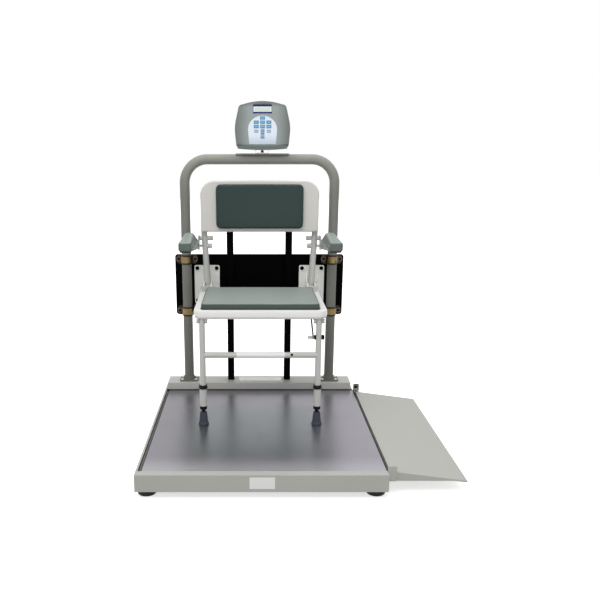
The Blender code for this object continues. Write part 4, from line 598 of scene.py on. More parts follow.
def yellow_zinc():
    """Passivated zinc plate: gold with green and rosy patches."""
    plate = Finish("yellow_zinc", ink(176, 146, 92), 0.32, 1.0)
    patches = plate.noise(60, detail=3)
    hue = plate.node("ValToRGB", {"Fac": patches})
    stops = hue.socket.node.color_ramp.elements
    golds = [
        (0.3, ink(90, 73, 43)),
        (0.48, ink(116, 100, 67)),
        (0.6, ink(111, 102, 71)),
        (0.72, ink(123, 94, 69)),
    ]
    while len(stops) < len(golds):
        stops.new(1)
    for stop, (position, colour) in zip(stops, golds):
        stop.position = position
        stop.color = (*colour, 1)
    return plate.done(hue, 0.26 + patches * 0.16, plate.noise(900, detail=2), 0.00002)


def vinyl(name, colour, unsheened_colour=None, top=0.0, half=None):
    """Smooth upholstery vinyl with a fine grain of cells. Given a top, the top's paler colour is
    a painted sheen over the vinyl's own dark colour below its edge.
    """
    cover = Finish(name, colour, 0.45, Specular_IOR_Level=0.3)
    place = {"Vector": cover.mapped(), "Scale": 620}
    cells = cover.node("TexVoronoi", place, "Distance", feature="DISTANCE_TO_EDGE")
    creases = cover.held(cells * 3)
    clouds = cover.noise(14, detail=4)
    rubbed = cover.noise(30, (0.12, 1, 1), detail=3)
    share = cover.held(clouds * 0.5 + creases * 0.2 + rubbed * 0.3)
    panel = cover.mix(share, cover.tinted(0.9), cover.tinted(1.1))
    if unsheened_colour:
        edge = cover.step_between(cover.axis("Z") + clouds * 0.001, top - 0.0055, top - 0.0005)
        # Painted shade: the top darkens along its sides
        if half:
            away = abs(cover.axis("X") - at(0, 0, 0).x)
            edge = edge * (1 - cover.step_between(away, half - 0.012, half - 0.003) * 0.8)
        panel = cover.mix(edge, unsheened_colour, panel)
    height = creases + cover.noise(2400, detail=2) * 0.3
    return cover.done(panel, 0.41 + clouds * 0.1 - creases * 0.03, height, 0.00005, 0.7)


def housing_plastic():
    """Fine-textured moulded housing, with painted shade darker at its crown and sides and painted
    light making its chin paler.
    """
    case = Finish("housing_plastic", ink(134, 143, 140), 0.4, Specular_IOR_Level=0.3)
    texture = case.noise(1900, detail=2)
    clouds = case.noise(11, detail=2)
    # Painted shade on the crown and sides, and painted light on the chin's underside
    aside = case.step_between(abs(case.axis("X") - at(DISPLAY_X, 0, 0).x), 0.045, 0.11)
    crown = case.step_between(case.axis("Z"), at(0, 0, 1.16).z, at(0, 0, 1.186).z)
    above_chin = case.step_between(case.axis("Z"), at(0, 0, 1.012).z, at(0, 0, 1.02).z)
    share = case.held(aside * 0.8 + crown * 0.9 + clouds * 0.2)
    face = case.mix(share, case.tinted(1.16), case.tinted(0.45))
    tone = case.mix(above_chin, case.tinted(1.45), face)
    return case.done(tone, 0.42 + texture * 0.1, texture, 0.00003)


def keypad_membrane():
    """White film that turns bluer towards its foot."""
    film = Finish("keypad_membrane", ink(205, 213, 224), 0.35)
    foot = at(0, 0, 1.019).z
    rise = film.step_between(film.axis("Z"), foot, foot + 0.045)
    tone = film.mix(rise, ink(172, 188, 204), ink(208, 215, 226))
    return film.done(tone, 0.32 + film.noise(40, detail=2) * 0.08)


def circuit_board():
    """Green board with paler tracks that stand up a little."""
    board = Finish("circuit_board", ink(16, 92, 52), 0.4)
    tracks = board.step_between(board.noise(320, (1, 4, 1), detail=0), 0.5, 0.54)
    tone = board.mix(tracks, ink(14, 78, 46), ink(38, 122, 70))
    return board.done(tone, 0.34 + tracks * 0.1, tracks, 0.00004)


# Every material of the scale, made once
FINISH = SimpleNamespace(
    rail=rail_paint(),
    frame=frame_paint("frame_paint", 177, 178, 171),
    # The rear channel's paint is the frame's paint made lighter, as painted light against the
    # shade on its face
    channel=frame_paint("lightened_channel_paint", 190, 191, 185),
    # One white paint in two copies: the chair's is darkened as painted shade, the brackets' is
    # lightened as painted light in the chair's shadow
    enamel=white_enamel("shaded_chair_enamel", 196, 196, 192),
    lit_bracket_enamel=white_enamel("lit_bracket_enamel", 244, 245, 239),
    wire=white_enamel("wire_enamel", 112, 112, 112),
    seat_moulding=white_moulding("seat_moulding", 246, 246, 244),
    # The back shell's moulding is the seat's white made darker, as painted shade
    shaded_back_moulding=white_moulding("shaded_back_moulding", 218, 215, 210),
    label=white_moulding("label_white", 240, 240, 238),
    black=grained(
        "black_enamel", ink(2, 2, 2), 0.6, 0.0, (12, EVEN, 3), (ink(1, 1, 1), ink(4, 4, 5)),
        (0.5, 0.1), (0.00002, 500, 2), Specular_IOR_Level=0.02,
    ),
    deck=brushed_deck(),
    zinc=yellow_zinc(),
    steel=grained(
        "bright_steel", ink(196, 196, 194), 0.25, 1.0, (1400, (0.08, 1, 1), 2), (0.85, 1.1),
        (0.2, 0.14), (0.00001,),
    ),
    aluminium=grained(
        "milled_aluminium", ink(205, 206, 208), 0.3, 1.0, (900, (1, 0.05, 1), 2), (0.85, 1.05),
        (0.24, 0.16), (0.00002,),
    ),
    plastic=grained(
        "black_plastic", ink(12, 12, 13), 0.42, 0.0, (900, EVEN, 2),
        (ink(6, 6, 7), ink(16, 16, 17)), (0.36, 0.12), (0.00003,), Specular_IOR_Level=0.15,
    ),
    rubber=rubber("black_rubber", 10, 10, 10),
    # Painted shade: the grey of the strip in the left wall's gap
    seal=rubber("seal_rubber", 92, 93, 89),
    tip=rubber("tip_rubber", 60, 63, 76),
    back_vinyl=vinyl("back_vinyl", ink(29, 50, 46)),
    # The seat's and arms' tops are painted pale as a sheen on the dark vinyl, whose own colour is
    # their second one; the arms' inner sides are the same vinyl painted pale as sheen
    seat_vinyl=vinyl(
        "seat_vinyl", ink(144, 154, 149), ink(62, 72, 68), at(0, 0, 0.4623).z, 0.22
    ),
    arm_vinyl=vinyl("arm_vinyl", ink(138, 149, 144), ink(92, 103, 98), at(0, 0, 0.6803).z),
    arm_side=vinyl("arm_side", ink(146, 153, 149)),
    housing=housing_plastic(),
    board=circuit_board(),
    # Painted shade: the clamp straps' zinc made dark where their ears stand in shade
    shaded_zinc=two_tone_zinc("shaded_zinc", ink(20, 16, 13), ink(58, 46, 34)),
    worn_zinc=two_tone_zinc("worn_zinc", ink(96, 84, 70), ink(150, 138, 120)),
    bezel=glossy("window_bezel", ink(20, 14, 98), Specular_IOR_Level=0.1),
    margin=glossy("window_margin", ink(206, 214, 238)),
    screen=glossy("window_screen", ink(186, 200, 186)),
    membrane=keypad_membrane(),
    keys=glossy("key_blue", ink(56, 128, 168), 0.35),
    key_print=glossy("key_print", ink(150, 200, 222), 0.35),
    glyphs=glossy("key_grey", ink(128, 152, 170), 0.35),
)


# Camera, lamps and floor

WORLD_LIGHT = 0.51
FLOOR_BOUNCE = 0.42


def add_camera():
    """The photograph's view: a lens of 40.5 mm, level with the rail's top and tipped down."""
    data = bpy.data.cameras.new("photo_camera")
    camera = bpy.data.objects.new("photo_camera", data)
    bpy.context.scene.collection.objects.link(camera)
    camera.location = at(-0.03, -1.954, 0.978)
    camera.rotation_euler = (math.radians(90 - 15.154), 0, 0)
    data.sensor_width, data.lens = 36, 40.527
    data.shift_x, data.shift_y = 0.07965, 0.06457
    bpy.context.scene.camera = camera


def add_lamp(name, place, target, size, power):
    data = bpy.data.lights.new(name, "AREA")
    data.shape = "RECTANGLE"
    data.size, data.size_y = size
    data.energy = power
    lamp = bpy.data.objects.new(name, data)
    bpy.context.scene.collection.objects.link(lamp)
    lamp.location = place
    lamp.rotation_euler = (Vector(target) - Vector(place)).to_track_quat("-Z", "Y").to_euler()


def add_world():
    """A pale room for what shines, and an even, weaker light for what doesn't."""
    world = bpy.data.worlds.new("studio")
    bpy.context.scene.world = world
    world.use_nodes = True
    world.node_tree.nodes.clear()
    sky = Nodes(world.node_tree)
    camera, shine, clear = sky.rays("Camera", "Glossy", "Transmission")
    seen = sky.maths("MAXIMUM", camera, sky.maths("MAXIMUM", shine, clear))
    light, room = (
        sky.node("Background", {"Color": (1, 1, 1, 1), "Strength": strength})
        for strength in (WORLD_LIGHT, 1.0)
    )
    both = sky.node("MixShader", {0: seen, 1: light, 2: room})
    sky.put(sky.tree.nodes.new("ShaderNodeOutputWorld").inputs["Surface"], both)


def add_floor():
    """A floor that keeps a faint shadow near the platform and fades into the white room."""
    bpy.ops.mesh.primitive_plane_add(size=30, location=(0, 0, 0))
    floor = named("studio_floor")
    finish = Finish(
        "floor_white", (0.95, 0.95, 0.95), 0.9, Specular_IOR_Level=0.0, Emission_Strength=1.0
    )
    camera, shine, clear = finish.rays("Camera", "Glossy", "Transmission")
    seen = finish.held(camera + shine + clear)
    near = finish.mix(finish.noise(0.7, detail=1), (0.97, 0.97, 0.97), (0.98, 0.98, 0.98))
    distance = finish.node("VectorMath", {0: finish.place}, 1, operation="LENGTH")
    glow = seen * (0.62 + finish.step_between(distance, 0.8, 2.0) * 0.38)
    finish.feed(
        Base_Color=finish.mix(seen, (FLOOR_BOUNCE,) * 3, near),
        Emission_Color=finish.mix(glow, (0, 0, 0), (1, 1, 1)),
    )
    floor.data.materials.append(finish.material)


add_camera()
add_world()
add_floor()
add_lamp("key_lamp", (-1.0, -2.2, 3.6), (0, 0.1, 0.5), (2.6, 1.8), 57)
add_lamp("front_lamp", (0.7, -3.4, 0.9), (0, 0.3, 0.35), (2.4, 1.2), 11)
add_lamp("top_lamp", (0.2, 0.3, 3.6), (0, 0, 0), (2.4, 2.4), 42)
bpy.context.scene.view_settings.view_transform = "Standard"


# Outlines and the forms made from them


def corner_points(corner, before, after, radius, steps):
    """The points of an arc that turns one corner of a flat outline."""
    corner = Vector(corner)
    towards = (Vector(before) - corner).normalized()
    onwards = (Vector(after) - corner).normalized()
    half = towards.angle(onwards) / 2
    centre = corner + (towards + onwards).normalized() * (radius / math.sin(half))
    first = (corner + towards * (radius / math.tan(half)) - centre).normalized()
    last = (corner + onwards * (radius / math.tan(half)) - centre).normalized()
    return [centre + first.slerp(last, step / steps) * radius for step in range(steps + 1)]


def rounded(corners, radii, steps=8):
    """A closed flat outline whose corners are turned, each with its own radius."""
    outline = []
    for index, (corner, radius) in enumerate(zip(corners, radii)):
        if radius:
            after = corners[(index + 1) % len(corners)]
            outline += corner_points(corner, corners[index - 1], after, radius, steps)
        else:
            outline.append(Vector(corner))
    return outline


def rectangle(u, v, radius, steps=8):
    corners = [(u[0], v[0]), (u[1], v[0]), (u[1], v[1]), (u[0], v[1])]
    return rounded(corners, [radius] * 4, steps)


def arc(centre, radius, start, end, steps):
    """Points on a circle between two angles in degrees."""
    turns = [math.radians(start + (end - start) * step / steps) for step in range(steps + 1)]
    return [Vector(centre) + Vector((math.cos(a), math.sin(a))) * radius for a in turns]


def bowed(first, last, rise, steps=22):
    """Points between two ends of an arc that bulges to the right of its run by the rise."""
    half = (last - first) / 2
    side = Vector((half.y, -half.x)).normalized()
    shares = [2 * step / steps - 1 for step in range(1, steps)]
    return [first + half * (1 + share) + side * rise * (1 - share * share) for share in shares]


def square_to(axis, level, u, v):
    """The point at a level along an axis and at two coordinates across it."""
    return {"X": at(level, u, v), "Y": at(u, level, v), "Z": at(u, v, level)}[axis]


def flat(name, outline, axis, span, edge=0.0, segments=3):
    """A flat outline that fills a span along an axis, with rounded edges."""
    by = Vector((0, 0, 0))
    by["XYZ".index(axis)] = span[1] - span[0]
    points = [square_to(axis, span[0], u, v) for u, v in outline]
    return sheet_form(name, points, by, edge, segments)


def round_part(name, axis, span, place, radius, edge=0.0, sides=40):
    """A round bar along an axis with eased ends, at two coordinates across it."""
    low, high = span
    profile = [(radius, low), (radius, high)]
    if edge:
        shoulder = radius - edge * 0.3
        profile = [
            (radius - edge, low), (shoulder, low + edge * 0.3), (radius, low + edge),
            (radius, high - edge), (shoulder, high - edge * 0.3), (radius - edge, high),
        ]
    return turning(name, square_to(axis, 0, *place), profile, axis, sides)


def button_head(name, axis, root, outward, radius, height, place):
    """A low domed bolt head with a round recess, on the outward side of a face."""
    shares = [(1, 0.0), (1, 0.25), (0.93, 0.62), (0.76, 0.88), (0.52, 1)]
    head = lathe(name, [(radius * wide, height * tall) for wide, tall in shares], 36)
    with Editing(head) as edit:
        edit.choose("FACE", lambda face: face.normal.z > 0.99 and len(face.verts) > 8)
        bpy.ops.mesh.inset(thickness=radius * 0.06, depth=0)
        edit.extrude(0, 0, -height * 0.45)
    if outward < 0:
        head.scale.z = -1
        settle(head)
        with Editing(head):
            bpy.ops.mesh.flip_normals()
    return shade(stand(head, axis, square_to(axis, root, *place)))


# Platform and ramp


def build_platform():
    dress_copy("platform_frame", "platform_tray", 0.0016, FINISH.frame, "grey_paint")
    dress_copy(
        "rear_channel", "folded_rear_channel", 0.0024, FINISH.channel, "grey_paint", segments=3
    )
    deck = slab("brushed_deck_plate", (-0.3875, 0.404), (0.032, 0.8118), (-0.006, -0.002))
    dress(soften(deck, 0.0006, 2), FINISH.deck, "brushed_deck", "base", "deck_plate")
    # Painted shade: a grey strip stands for the shaded inner face of the left wall, and black
    # strips for the shadowed gaps at the left, by the ramp and at the rear
    left_wall_shade_strip = slab("left_wall_shade_strip", (-0.397, -0.3902), (0.0304, 0.811), (-0.0062, -0.0046))
    dress(soften(left_wall_shade_strip, 0.0005, 2), FINISH.seal, "black_rubber", "base")
    gap_shadows = [
        slab("left_gap_shadow", (-0.3993, -0.3876), (0.0304, 0.8206), (-0.0063, -0.0058)),
        slab("ramp_gap_shadow", (0.4042, 0.4064), (0.0304, 0.819), (-0.0062, -0.003)),
        slab("rear_gap_shadow", (-0.3993, 0.404), (0.812, 0.8206), (-0.0062, -0.0008)),
    ]
    dress(joined("deck_gap_shadows", gap_shadows), FINISH.black, "black_rubber", "base")
    outline = rectangle((-0.087, 0.097), (0.848, 0.8965), 0.006)
    plate = flat("channel_label_plate", outline, "Z", (0.0291, 0.0299), 0.0003)
    dress(plate, FINISH.steel, "bright_steel", "base")
    outline = rectangle((-0.064, 0.074), (0.855, 0.889), 0.003)
    blank = flat("channel_blank_label", outline, "Z", (0.0297, 0.0301), 0.0001)
    dress(blank, FINISH.label, "white_paint", "base")
    for end in ENDS:
        for side in SIDES:
            paint_with(FINISH.aluminium, NODES[f"load_cell_{end}_{side}"].data)


def build_levelling_feet():
    """A rubber puck with rounded edges and a steel stud under each corner."""
    place = at(-0.3725, 0.045, 0)
    puck_profile = [
        (0.0215, -0.085), (0.0258, -0.0844), (0.0288, -0.0828), (0.0306, -0.0806),
        (0.0316, -0.0778), (0.032, -0.0745), (0.032, -0.0655), (0.0308, -0.0633),
        (0.028, -0.062), (0.01, -0.0612),
    ]
    puck = turning("foot_puck", place, puck_profile)
    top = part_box("levelling_foot_front_left")[1].z - ORIGIN.z
    stud_profile = [(0.005, -0.0615), (0.005, top - 0.001), (0.0042, top)]
    stud = turning("foot_stud", place, stud_profile, sides=24)
    for end, behind in zip(ENDS, (0, 0.824)):
        for part, finish, slot, node in (
            (puck, FINISH.rubber, "black_rubber", f"levelling_foot_{end}_{{}}"),
            (stud, FINISH.steel, "bright_steel", ""),
        ):
            stem = f"{part.name}_{end}"
            one = copy_of(part, stem, (0, behind, 0))
            dress_sides(one, stem, finish, slot, f"foot_{end}_{{}}", node, 35)
    bpy.data.objects.remove(puck)
    bpy.data.objects.remove(stud)


def build_ramp():
    dress_copy("ramp_plate", "ramp_tread", 0.0012, FINISH.frame, "grey_paint", "ramp")
    # The rear ear takes the darker rail paint as painted shade, where it stands in shade behind
    # the ramp; the front ear keeps the frame's paint
    for end, finish in zip(ENDS, (FINISH.frame, FINISH.rail)):
        dress_copy(f"ramp_bracket_{end}", f"ramp_ear_{end}", 0.0008, finish, "grey_paint")
    lock = round_part("ramp_lock_head", "Y", (0.8088, 0.81), (0.417, 0.014), 0.0058, 0.0003)
    stem = round_part("ramp_lock_stem", "Y", (0.8096, 0.8168), (0.417, 0.014), 0.0039)
    dress(joined("ramp_lock", [lock, stem]), FINISH.black, "black_plastic", "base")


# Handrail, flanges, cross plate, posts and clamps


def build_handrail():
    bend, foot = 0.094, 0.0356
    straight = RAIL_TOP - bend
    moves = [
        ("run", (0, 0, straight - foot)),
        *over_the_top(RAIL_HALF_SPAN, RAIL_Y, straight, bend, 24),
        ("run", (0, 0, foot - straight)),
    ]
    start = at(-RAIL_HALF_SPAN, RAIL_Y, foot)
    rail = pipe("bent_handrail", RAIL_RADIUS, start, (0, 0, 1), moves, 64)
    dress(rail, FINISH.rail, "grey_paint", "base", "handrail")


def build_flanges():
    """A base plate with a weld bead round the tube and four bolts, under each leg."""
    x = -RAIL_HALF_SPAN
    outline = rectangle((x - 0.04, x + 0.04), (RAIL_Y - 0.03, RAIL_Y + 0.03), 0.008)
    base = flat("flange_plate", outline, "Z", (CHANNEL_TOP, 0.0353), 0.0008)
    bead = [
        (0.024, 0.0345), (0.024, 0.0375), (0.0233, 0.0392),
        (0.023, 0.048), (0.0222, 0.049), (0.0201, 0.0493),
    ]
    collar = turning("flange_collar", at(x, RAIL_Y, 0), bead, sides=56)
    flange = joined("flange", [base, collar])
    dress_sides(flange, "flange", FINISH.rail, "grey_paint", node="rail_flange_{}", angle=35)
    place = (x - 0.028, RAIL_Y - 0.018)
    washer = round_part("flange_washer", "Z", (0.0352, 0.036), place, 0.0085, 0.0003)
    head = button_head("flange_bolt", "Z", 0.0358, 1, 0.0066, 0.0042, place)
    moves = [(0.056, 0, 0), (0, 0.036, 0), (0.056, 0.036, 0)]
    bolts = repeated(joined("flange_bolt", [washer, head]), "flange_bolts", moves)
    dress_sides(bolts, "flange_bolts", FINISH.steel, "bright_steel")


def build_cross_plate():
    outline = rectangle((-0.3555, 0.3555), (0.318, 0.578), 0.012, 10)
    wide = flat("wide_cross_plate", outline, "Y", (0.8873, 0.8923), 0.0009)
    dress(wide, FINISH.black, "black_paint", "base", "cross_plate")


def build_posts():
    """Two square posts with rounded corners and a plastic cap on each."""
    outline = rectangle((-0.1363, -0.1087), (0.862, 0.887), 0.003, 5)
    tube = flat("square_post", outline, "Z", (CHANNEL_TOP, 0.7975))
    dress_sides(tube, "square_post", FINISH.black, "black_paint", node="post_{}")
    outline = rectangle((-0.1361, -0.1089), (0.8622, 0.8868), 0.003, 5)
    lid = flat("post_cap", outline, "Z", (0.7975, 0.8), 0.001)
    dress_sides(lid, "post_cap", FINISH.plastic, "black_plastic")


def at_every_clamp(piece, stem, finish, slot, node=""):
    """Puts one part of the upper left clamp on all four clamps."""
    below = (0, 0, CLAMP_HEIGHTS["lower"] - CLAMP_HEIGHTS["upper"])
    for level, part in (("lower", copy_of(piece, stem, below)), ("upper", piece)):
        stands_for = node and f"{node}_{level}_{{}}"
        dress_sides(part, f"{stem}_{level}", finish, slot, node=stands_for, angle=50)


def clamp_outline(x, inner, outer):
    """The strap from above: an arch over the tube and a flat ear at each side."""
    back, front, shoulder = 0.887, 0.884, RAIL_Y + 0.008
    left, right = x - CLAMP_REACH, x + CLAMP_REACH
    return [
        Vector((left, back)),
        Vector((left, front)),
        *corner_points(
            (x - outer - 0.0012, front), (left, front), (x - outer, shoulder), 0.0015, 4
        ),
        *arc((x, RAIL_Y), outer, 160, 380, 40),
        *corner_points(
            (x + outer + 0.0012, front), (x + outer, shoulder), (right, front), 0.0015, 4
        ),
        Vector((right, front)),
        Vector((right, back)),
        Vector((x + inner, back)),
        *arc((x, RAIL_Y), inner, 360, 180, 32),
        Vector((x - inner, back)),
    ]


def build_clamps():
    """A strap over the rail with a bolted ear at each side, and a gold band round it."""
    x, height = -RAIL_HALF_SPAN, CLAMP_HEIGHTS["upper"]
    outline = clamp_outline(x, CLAMP_INNER, CLAMP_OUTER)
    strap = flat("clamp_strap", outline, "Z", (height - 0.02, height + 0.02))

    def at_an_ears_end(edge):
        middle = (edge.verts[0].co.x + edge.verts[1].co.x) / 2
        away = abs(middle - at(x, 0, 0).x)
        return runs_along(edge, 1) and abs(away - CLAMP_REACH) < 0.0005

    with Editing(strap) as edit:
        edit.choose("EDGE", at_an_ears_end)
        edit.bevel(0.013, 8)
    soften(strap, 0.0007, 2, 50)
    # The strap is the band's zinc painted dark as painted shade over its ears; only the band
    # stays gold
    at_every_clamp(strap, "clamp_strap", FINISH.shaded_zinc, "yellow_zinc", "pipe_clamp")
    line = arc((x, RAIL_Y), CLAMP_OUTER + 0.0009, 172, 368, 40)
    line += arc((x, RAIL_Y), CLAMP_OUTER - 0.001, 368, 172, 40)
    band = flat("clamp_band", line, "Z", (height - 0.0132, height + 0.0132), 0.0005, 2)
    at_every_clamp(band, "clamp_band", FINISH.zinc, "yellow_zinc")
    place = (x - 0.035, height)
    head = button_head("clamp_bolt", "Y", 0.8828, -1, 0.0078, 0.0042, place)
    bolts = repeated(head, "clamp_bolts", [(0.07, 0, 0)])
    at_every_clamp(bolts, "clamp_bolts", FINISH.plastic, "black_plastic")
    washer = round_part("clamp_washer", "Y", (0.8826, 0.8842), place, 0.0092, 0.0003)
    washers = repeated(washer, "clamp_washers", [(0.07, 0, 0)])
    at_every_clamp(washers, "clamp_washers", FINISH.worn_zinc, "yellow_zinc")


# Chair: brackets and backrest


def build_seat_brackets():
    """Both brackets with their hinge pins, and black bolts at their corners."""
    for side in SIDES:
        dress_copy(
            f"seat_bracket_{side}", f"hinge_bracket_{side}", 0.0007,
            FINISH.lit_bracket_enamel, "white_paint",
        )
        dress_copy(
            f"seat_hinge_pin_{side}", f"hinge_pin_{side}", 0.0006, FINISH.enamel, "bright_steel"
        )
    head = button_head("bracket_bolt", "Y", 0.8832, -1, 0.0079, 0.0092, (-0.262, 0.3805))
    moves = [(0.0815, 0, 0), (0, 0, 0.139), (0.0815, 0, 0.139)]
    bolts = repeated(head, "bracket_bolts", moves)
    dress_sides(bolts, "bracket_bolts", FINISH.black, "black_plastic")


def build_backrest_frame():
    """A bent tube whose uprights splay outwards above the seat."""
    bend, foot, knee, foot_x = 0.06, 0.44, 0.7, -0.2145
    straight = 0.862 - bend
    lean = foot_x + BACKREST_HALF_SPAN
    moves = [
        ("run", (-lean, 0, knee - foot)),
        ("run", (0, 0, straight - knee)),
        *over_the_top(BACKREST_HALF_SPAN, BACKREST_Y, straight, bend, 20),
        ("run", (0, 0, knee - straight)),
        ("run", (-lean, 0, foot - knee)),
    ]
    tube = pipe("backrest_tube", 0.0125, at(foot_x, BACKREST_Y, foot), (0, 0, 1), moves)
    dress(tube, FINISH.enamel, "white_paint", "base", "backrest_frame")


def build_backrest_fasteners():
    """The arm stops, the arm pivots with their spacers, and the bolts at the tube's feet."""
    pivot, stop, foot = (BACKREST_Y, 0.652), (BACKREST_Y, 0.621), (BACKREST_Y, 0.462)
    stops = [
        round_part("stop_cap", "X", (-0.224, -0.195), stop, 0.0095, 0.0018),
        round_part("stop_post", "X", (-0.2495, -0.224), stop, 0.005, 0.0006),
    ]
    dress_sides(joined("arm_stop", stops), "arm_stop", FINISH.enamel, "white_paint", angle=35)
    spacers = [
        round_part("spacer", "X", (-0.2147, -0.1915), pivot, 0.0088, 0.0012),
        round_part("shoulder", "X", (-0.2442, -0.235), pivot, 0.0085, 0.0004),
        round_part("stem", "X", (-0.25, -0.214), pivot, 0.004, 0.0004),
    ]
    spacer, node = joined("arm_spacer", spacers), "arm_pivot_bolt_{}"
    dress_sides(spacer, "arm_spacer", FINISH.enamel, "bright_steel", node=node, angle=35)
    heads = [
        button_head("spacer_bolt", "X", -0.1917, 1, 0.0078, 0.002, pivot),
        button_head("pivot_head", "X", -0.2498, -1, 0.0085, 0.0038, pivot),
    ]
    heads = joined("arm_pivot_heads", heads)
    dress_sides(heads, "arm_pivot_heads", FINISH.steel, "bright_steel")
    feet = [
        button_head("foot_bolt", "X", -0.1977, 1, 0.0066, 0.0038, foot),
        button_head("foot_bolt", "X", -0.2313, -1, 0.0066, 0.0038, foot),
        round_part("foot_bolt_stem", "X", (-0.232, -0.197), foot, 0.0038),
    ]
    feet = joined("back_foot_bolt", feet)
    dress_sides(feet, "back_foot_bolt", FINISH.steel, "bright_steel")


def build_backrest_shell():
    """A moulded panel with broad top corners and soft edges."""
    half = 0.238
    corners = [(-half, 0.68), (half, 0.68), (half, 0.883), (-half, 0.883)]
    outline = rounded(corners, [0.009, 0.009, 0.058, 0.058], 14)
    shell = flat("moulded_back_shell", outline, "Y", (0.7992, 0.8172), 0.0062, 5)
    dress(shell, FINISH.shaded_back_moulding, "white_shell", "base", "backrest_shell")


# Cushions

FILLING_FRAMES = 20


def padded_block(name, x, y, z, corner, top_axis, top_sign, taper=None):
    """A closed block with turned corners, a crowned top and sides drawn in at its foot."""
    pad = slab(name, x, y, z)
    crown, foot = (top_sign, 0.0052, 6), (-top_sign, 0.0022, 3)
    with Editing(pad) as edit:
        edit.choose("EDGE", lambda edge: runs_along(edge, top_axis))
        edit.bevel(corner, 8)
        for sign, width, segments in (crown, foot):
            edit.choose("FACE", lambda face: face.normal[top_axis] * sign > 0.9)
            bpy.ops.mesh.region_to_loop()
            edit.bevel(width, segments)
    if taper:
        taper(pad, at(x[0], y[0], z[0]), at(x[1], y[1], z[1]))
    return pad


def inflate(pad, voxel, cap, keep_flat):
    modify(pad, "REMESH", mode="VOXEL", voxel_size=voxel)
    rest = [vert.co.copy() for vert in pad.data.vertices]
    pinned = pad.vertex_groups.new(name="seated")
    pinned.add([i for i, point in enumerate(rest) if keep_flat(point)], 1.0, "REPLACE")
    cloth = pad.modifiers.new("Cover", "CLOTH")
    cloth.settings.quality = 5
    cloth.settings.mass = 0.3
    cloth.settings.tension_stiffness = 40
    cloth.settings.compression_stiffness = 40
    cloth.settings.bending_stiffness = 8
    cloth.settings.use_pressure = True
    cloth.settings.uniform_pressure_force = 4.0
    cloth.settings.effector_weights.gravity = 0
    cloth.settings.vertex_group_mass = "seated"
    cloth.point_cache.frame_start = 1
    cloth.point_cache.frame_end = FILLING_FRAMES
    scene = bpy.context.scene
    for number in range(1, FILLING_FRAMES + 1):
        scene.frame_set(number)
    hold(pad)
    bpy.ops.object.modifier_apply(modifier=cloth.name)
    scene.frame_set(1)
    for vert, point in zip(pad.data.vertices, rest):
        step = vert.co - point
        if step.length > cap:
            vert.co = point + step.normalized() * cap
    modify(pad, "SMOOTH", factor=0.5, iterations=4)
    modify(pad, "SUBSURF", levels=1, render_levels=1)
    hold(pad)
    bpy.ops.object.shade_smooth()


def build_back_pad():
    depth, height = (0.7758, 0.7989), (0.694, 0.8697)
    pad = padded_block("back_cushion", (-0.1748, 0.1748), depth, height, 0.019, 1, -1)
    foot = at(0, depth[1], 0).y
    inflate(pad, 0.004, 0.0012, lambda point: point.y > foot - 0.004)
    dress(pad, FINISH.back_vinyl, "dark_vinyl", "base", "backrest_pad")


def build_seat_pad():
    depth, height = (0.439, 0.767), (0.4383, 0.4612)
    pad = padded_block("seat_cushion", (-0.2178, 0.2178), depth, height, 0.014, 2, 1)
    foot = at(0, 0, height[0]).z
    inflate(pad, 0.004, 0.0014, lambda point: point.z < foot + 0.004)
    dress(pad, FINISH.seat_vinyl, "seat_vinyl", "seat", "seat_pad")


def splayed(pad, low, high):
    """Leans the left arm's pad outwards towards its back, and draws in its inner edge."""
    for vert in pad.data.vertices:
        along = (vert.co.y - low.y) / (high.y - low.y)
        rise = (vert.co.z - low.z) / (high.z - low.z)
        inward = (vert.co.x - low.x) / (high.x - low.x)
        vert.co.x -= along * (0.006 * (1 - inward) + 0.021 * rise * inward)


def build_arms():
    """A hinged bar under each pad, with a tapering web on the inside and a dark base board."""
    for side in SIDES:
        arm = f"arm_{side}"
        dress_copy(arm, f"arm_bracket_{side}", 0.0009, FINISH.enamel, "white_paint", arm)
    wedge = [(0.468, 0.65), (0.474, 0.6455), (0.79, 0.6135), (0.8, 0.62), (0.8, 0.65)]
    heel = flat("arm_heel", wedge, "X", (-0.2585, -0.2466), 0.0022, 4)
    dress_sides(heel, "arm_heel", FINISH.arm_side, "seat_vinyl", "arm_{}", angle=35)
    outline = rectangle((ARM_X - 0.0195, ARM_X + 0.0195), (0.456, 0.779), 0.008)
    lip = flat("arm_pad_base", outline, "Z", (0.643, 0.65), 0.0012)
    dress_sides(lip, "arm_pad_base", FINISH.plastic, "black_plastic", "arm_{}")
    width, depth, height = (ARM_X - 0.024, ARM_X + 0.024), (0.45, 0.7845), (0.647, 0.68)
    pad = padded_block("arm_cushion", width, depth, height, 0.01, 2, 1, splayed)
    foot = at(0, 0, height[0]).z
    inflate(pad, 0.0035, 0.0014, lambda point: point.z < foot + 0.003)
    for side, piece in both_sides(pad, "arm_cushion", 180).items():
        dress(piece, FINISH.arm_vinyl, "seat_vinyl", f"arm_{side}", f"arm_pad_{side}")


# Chair: seat and legs


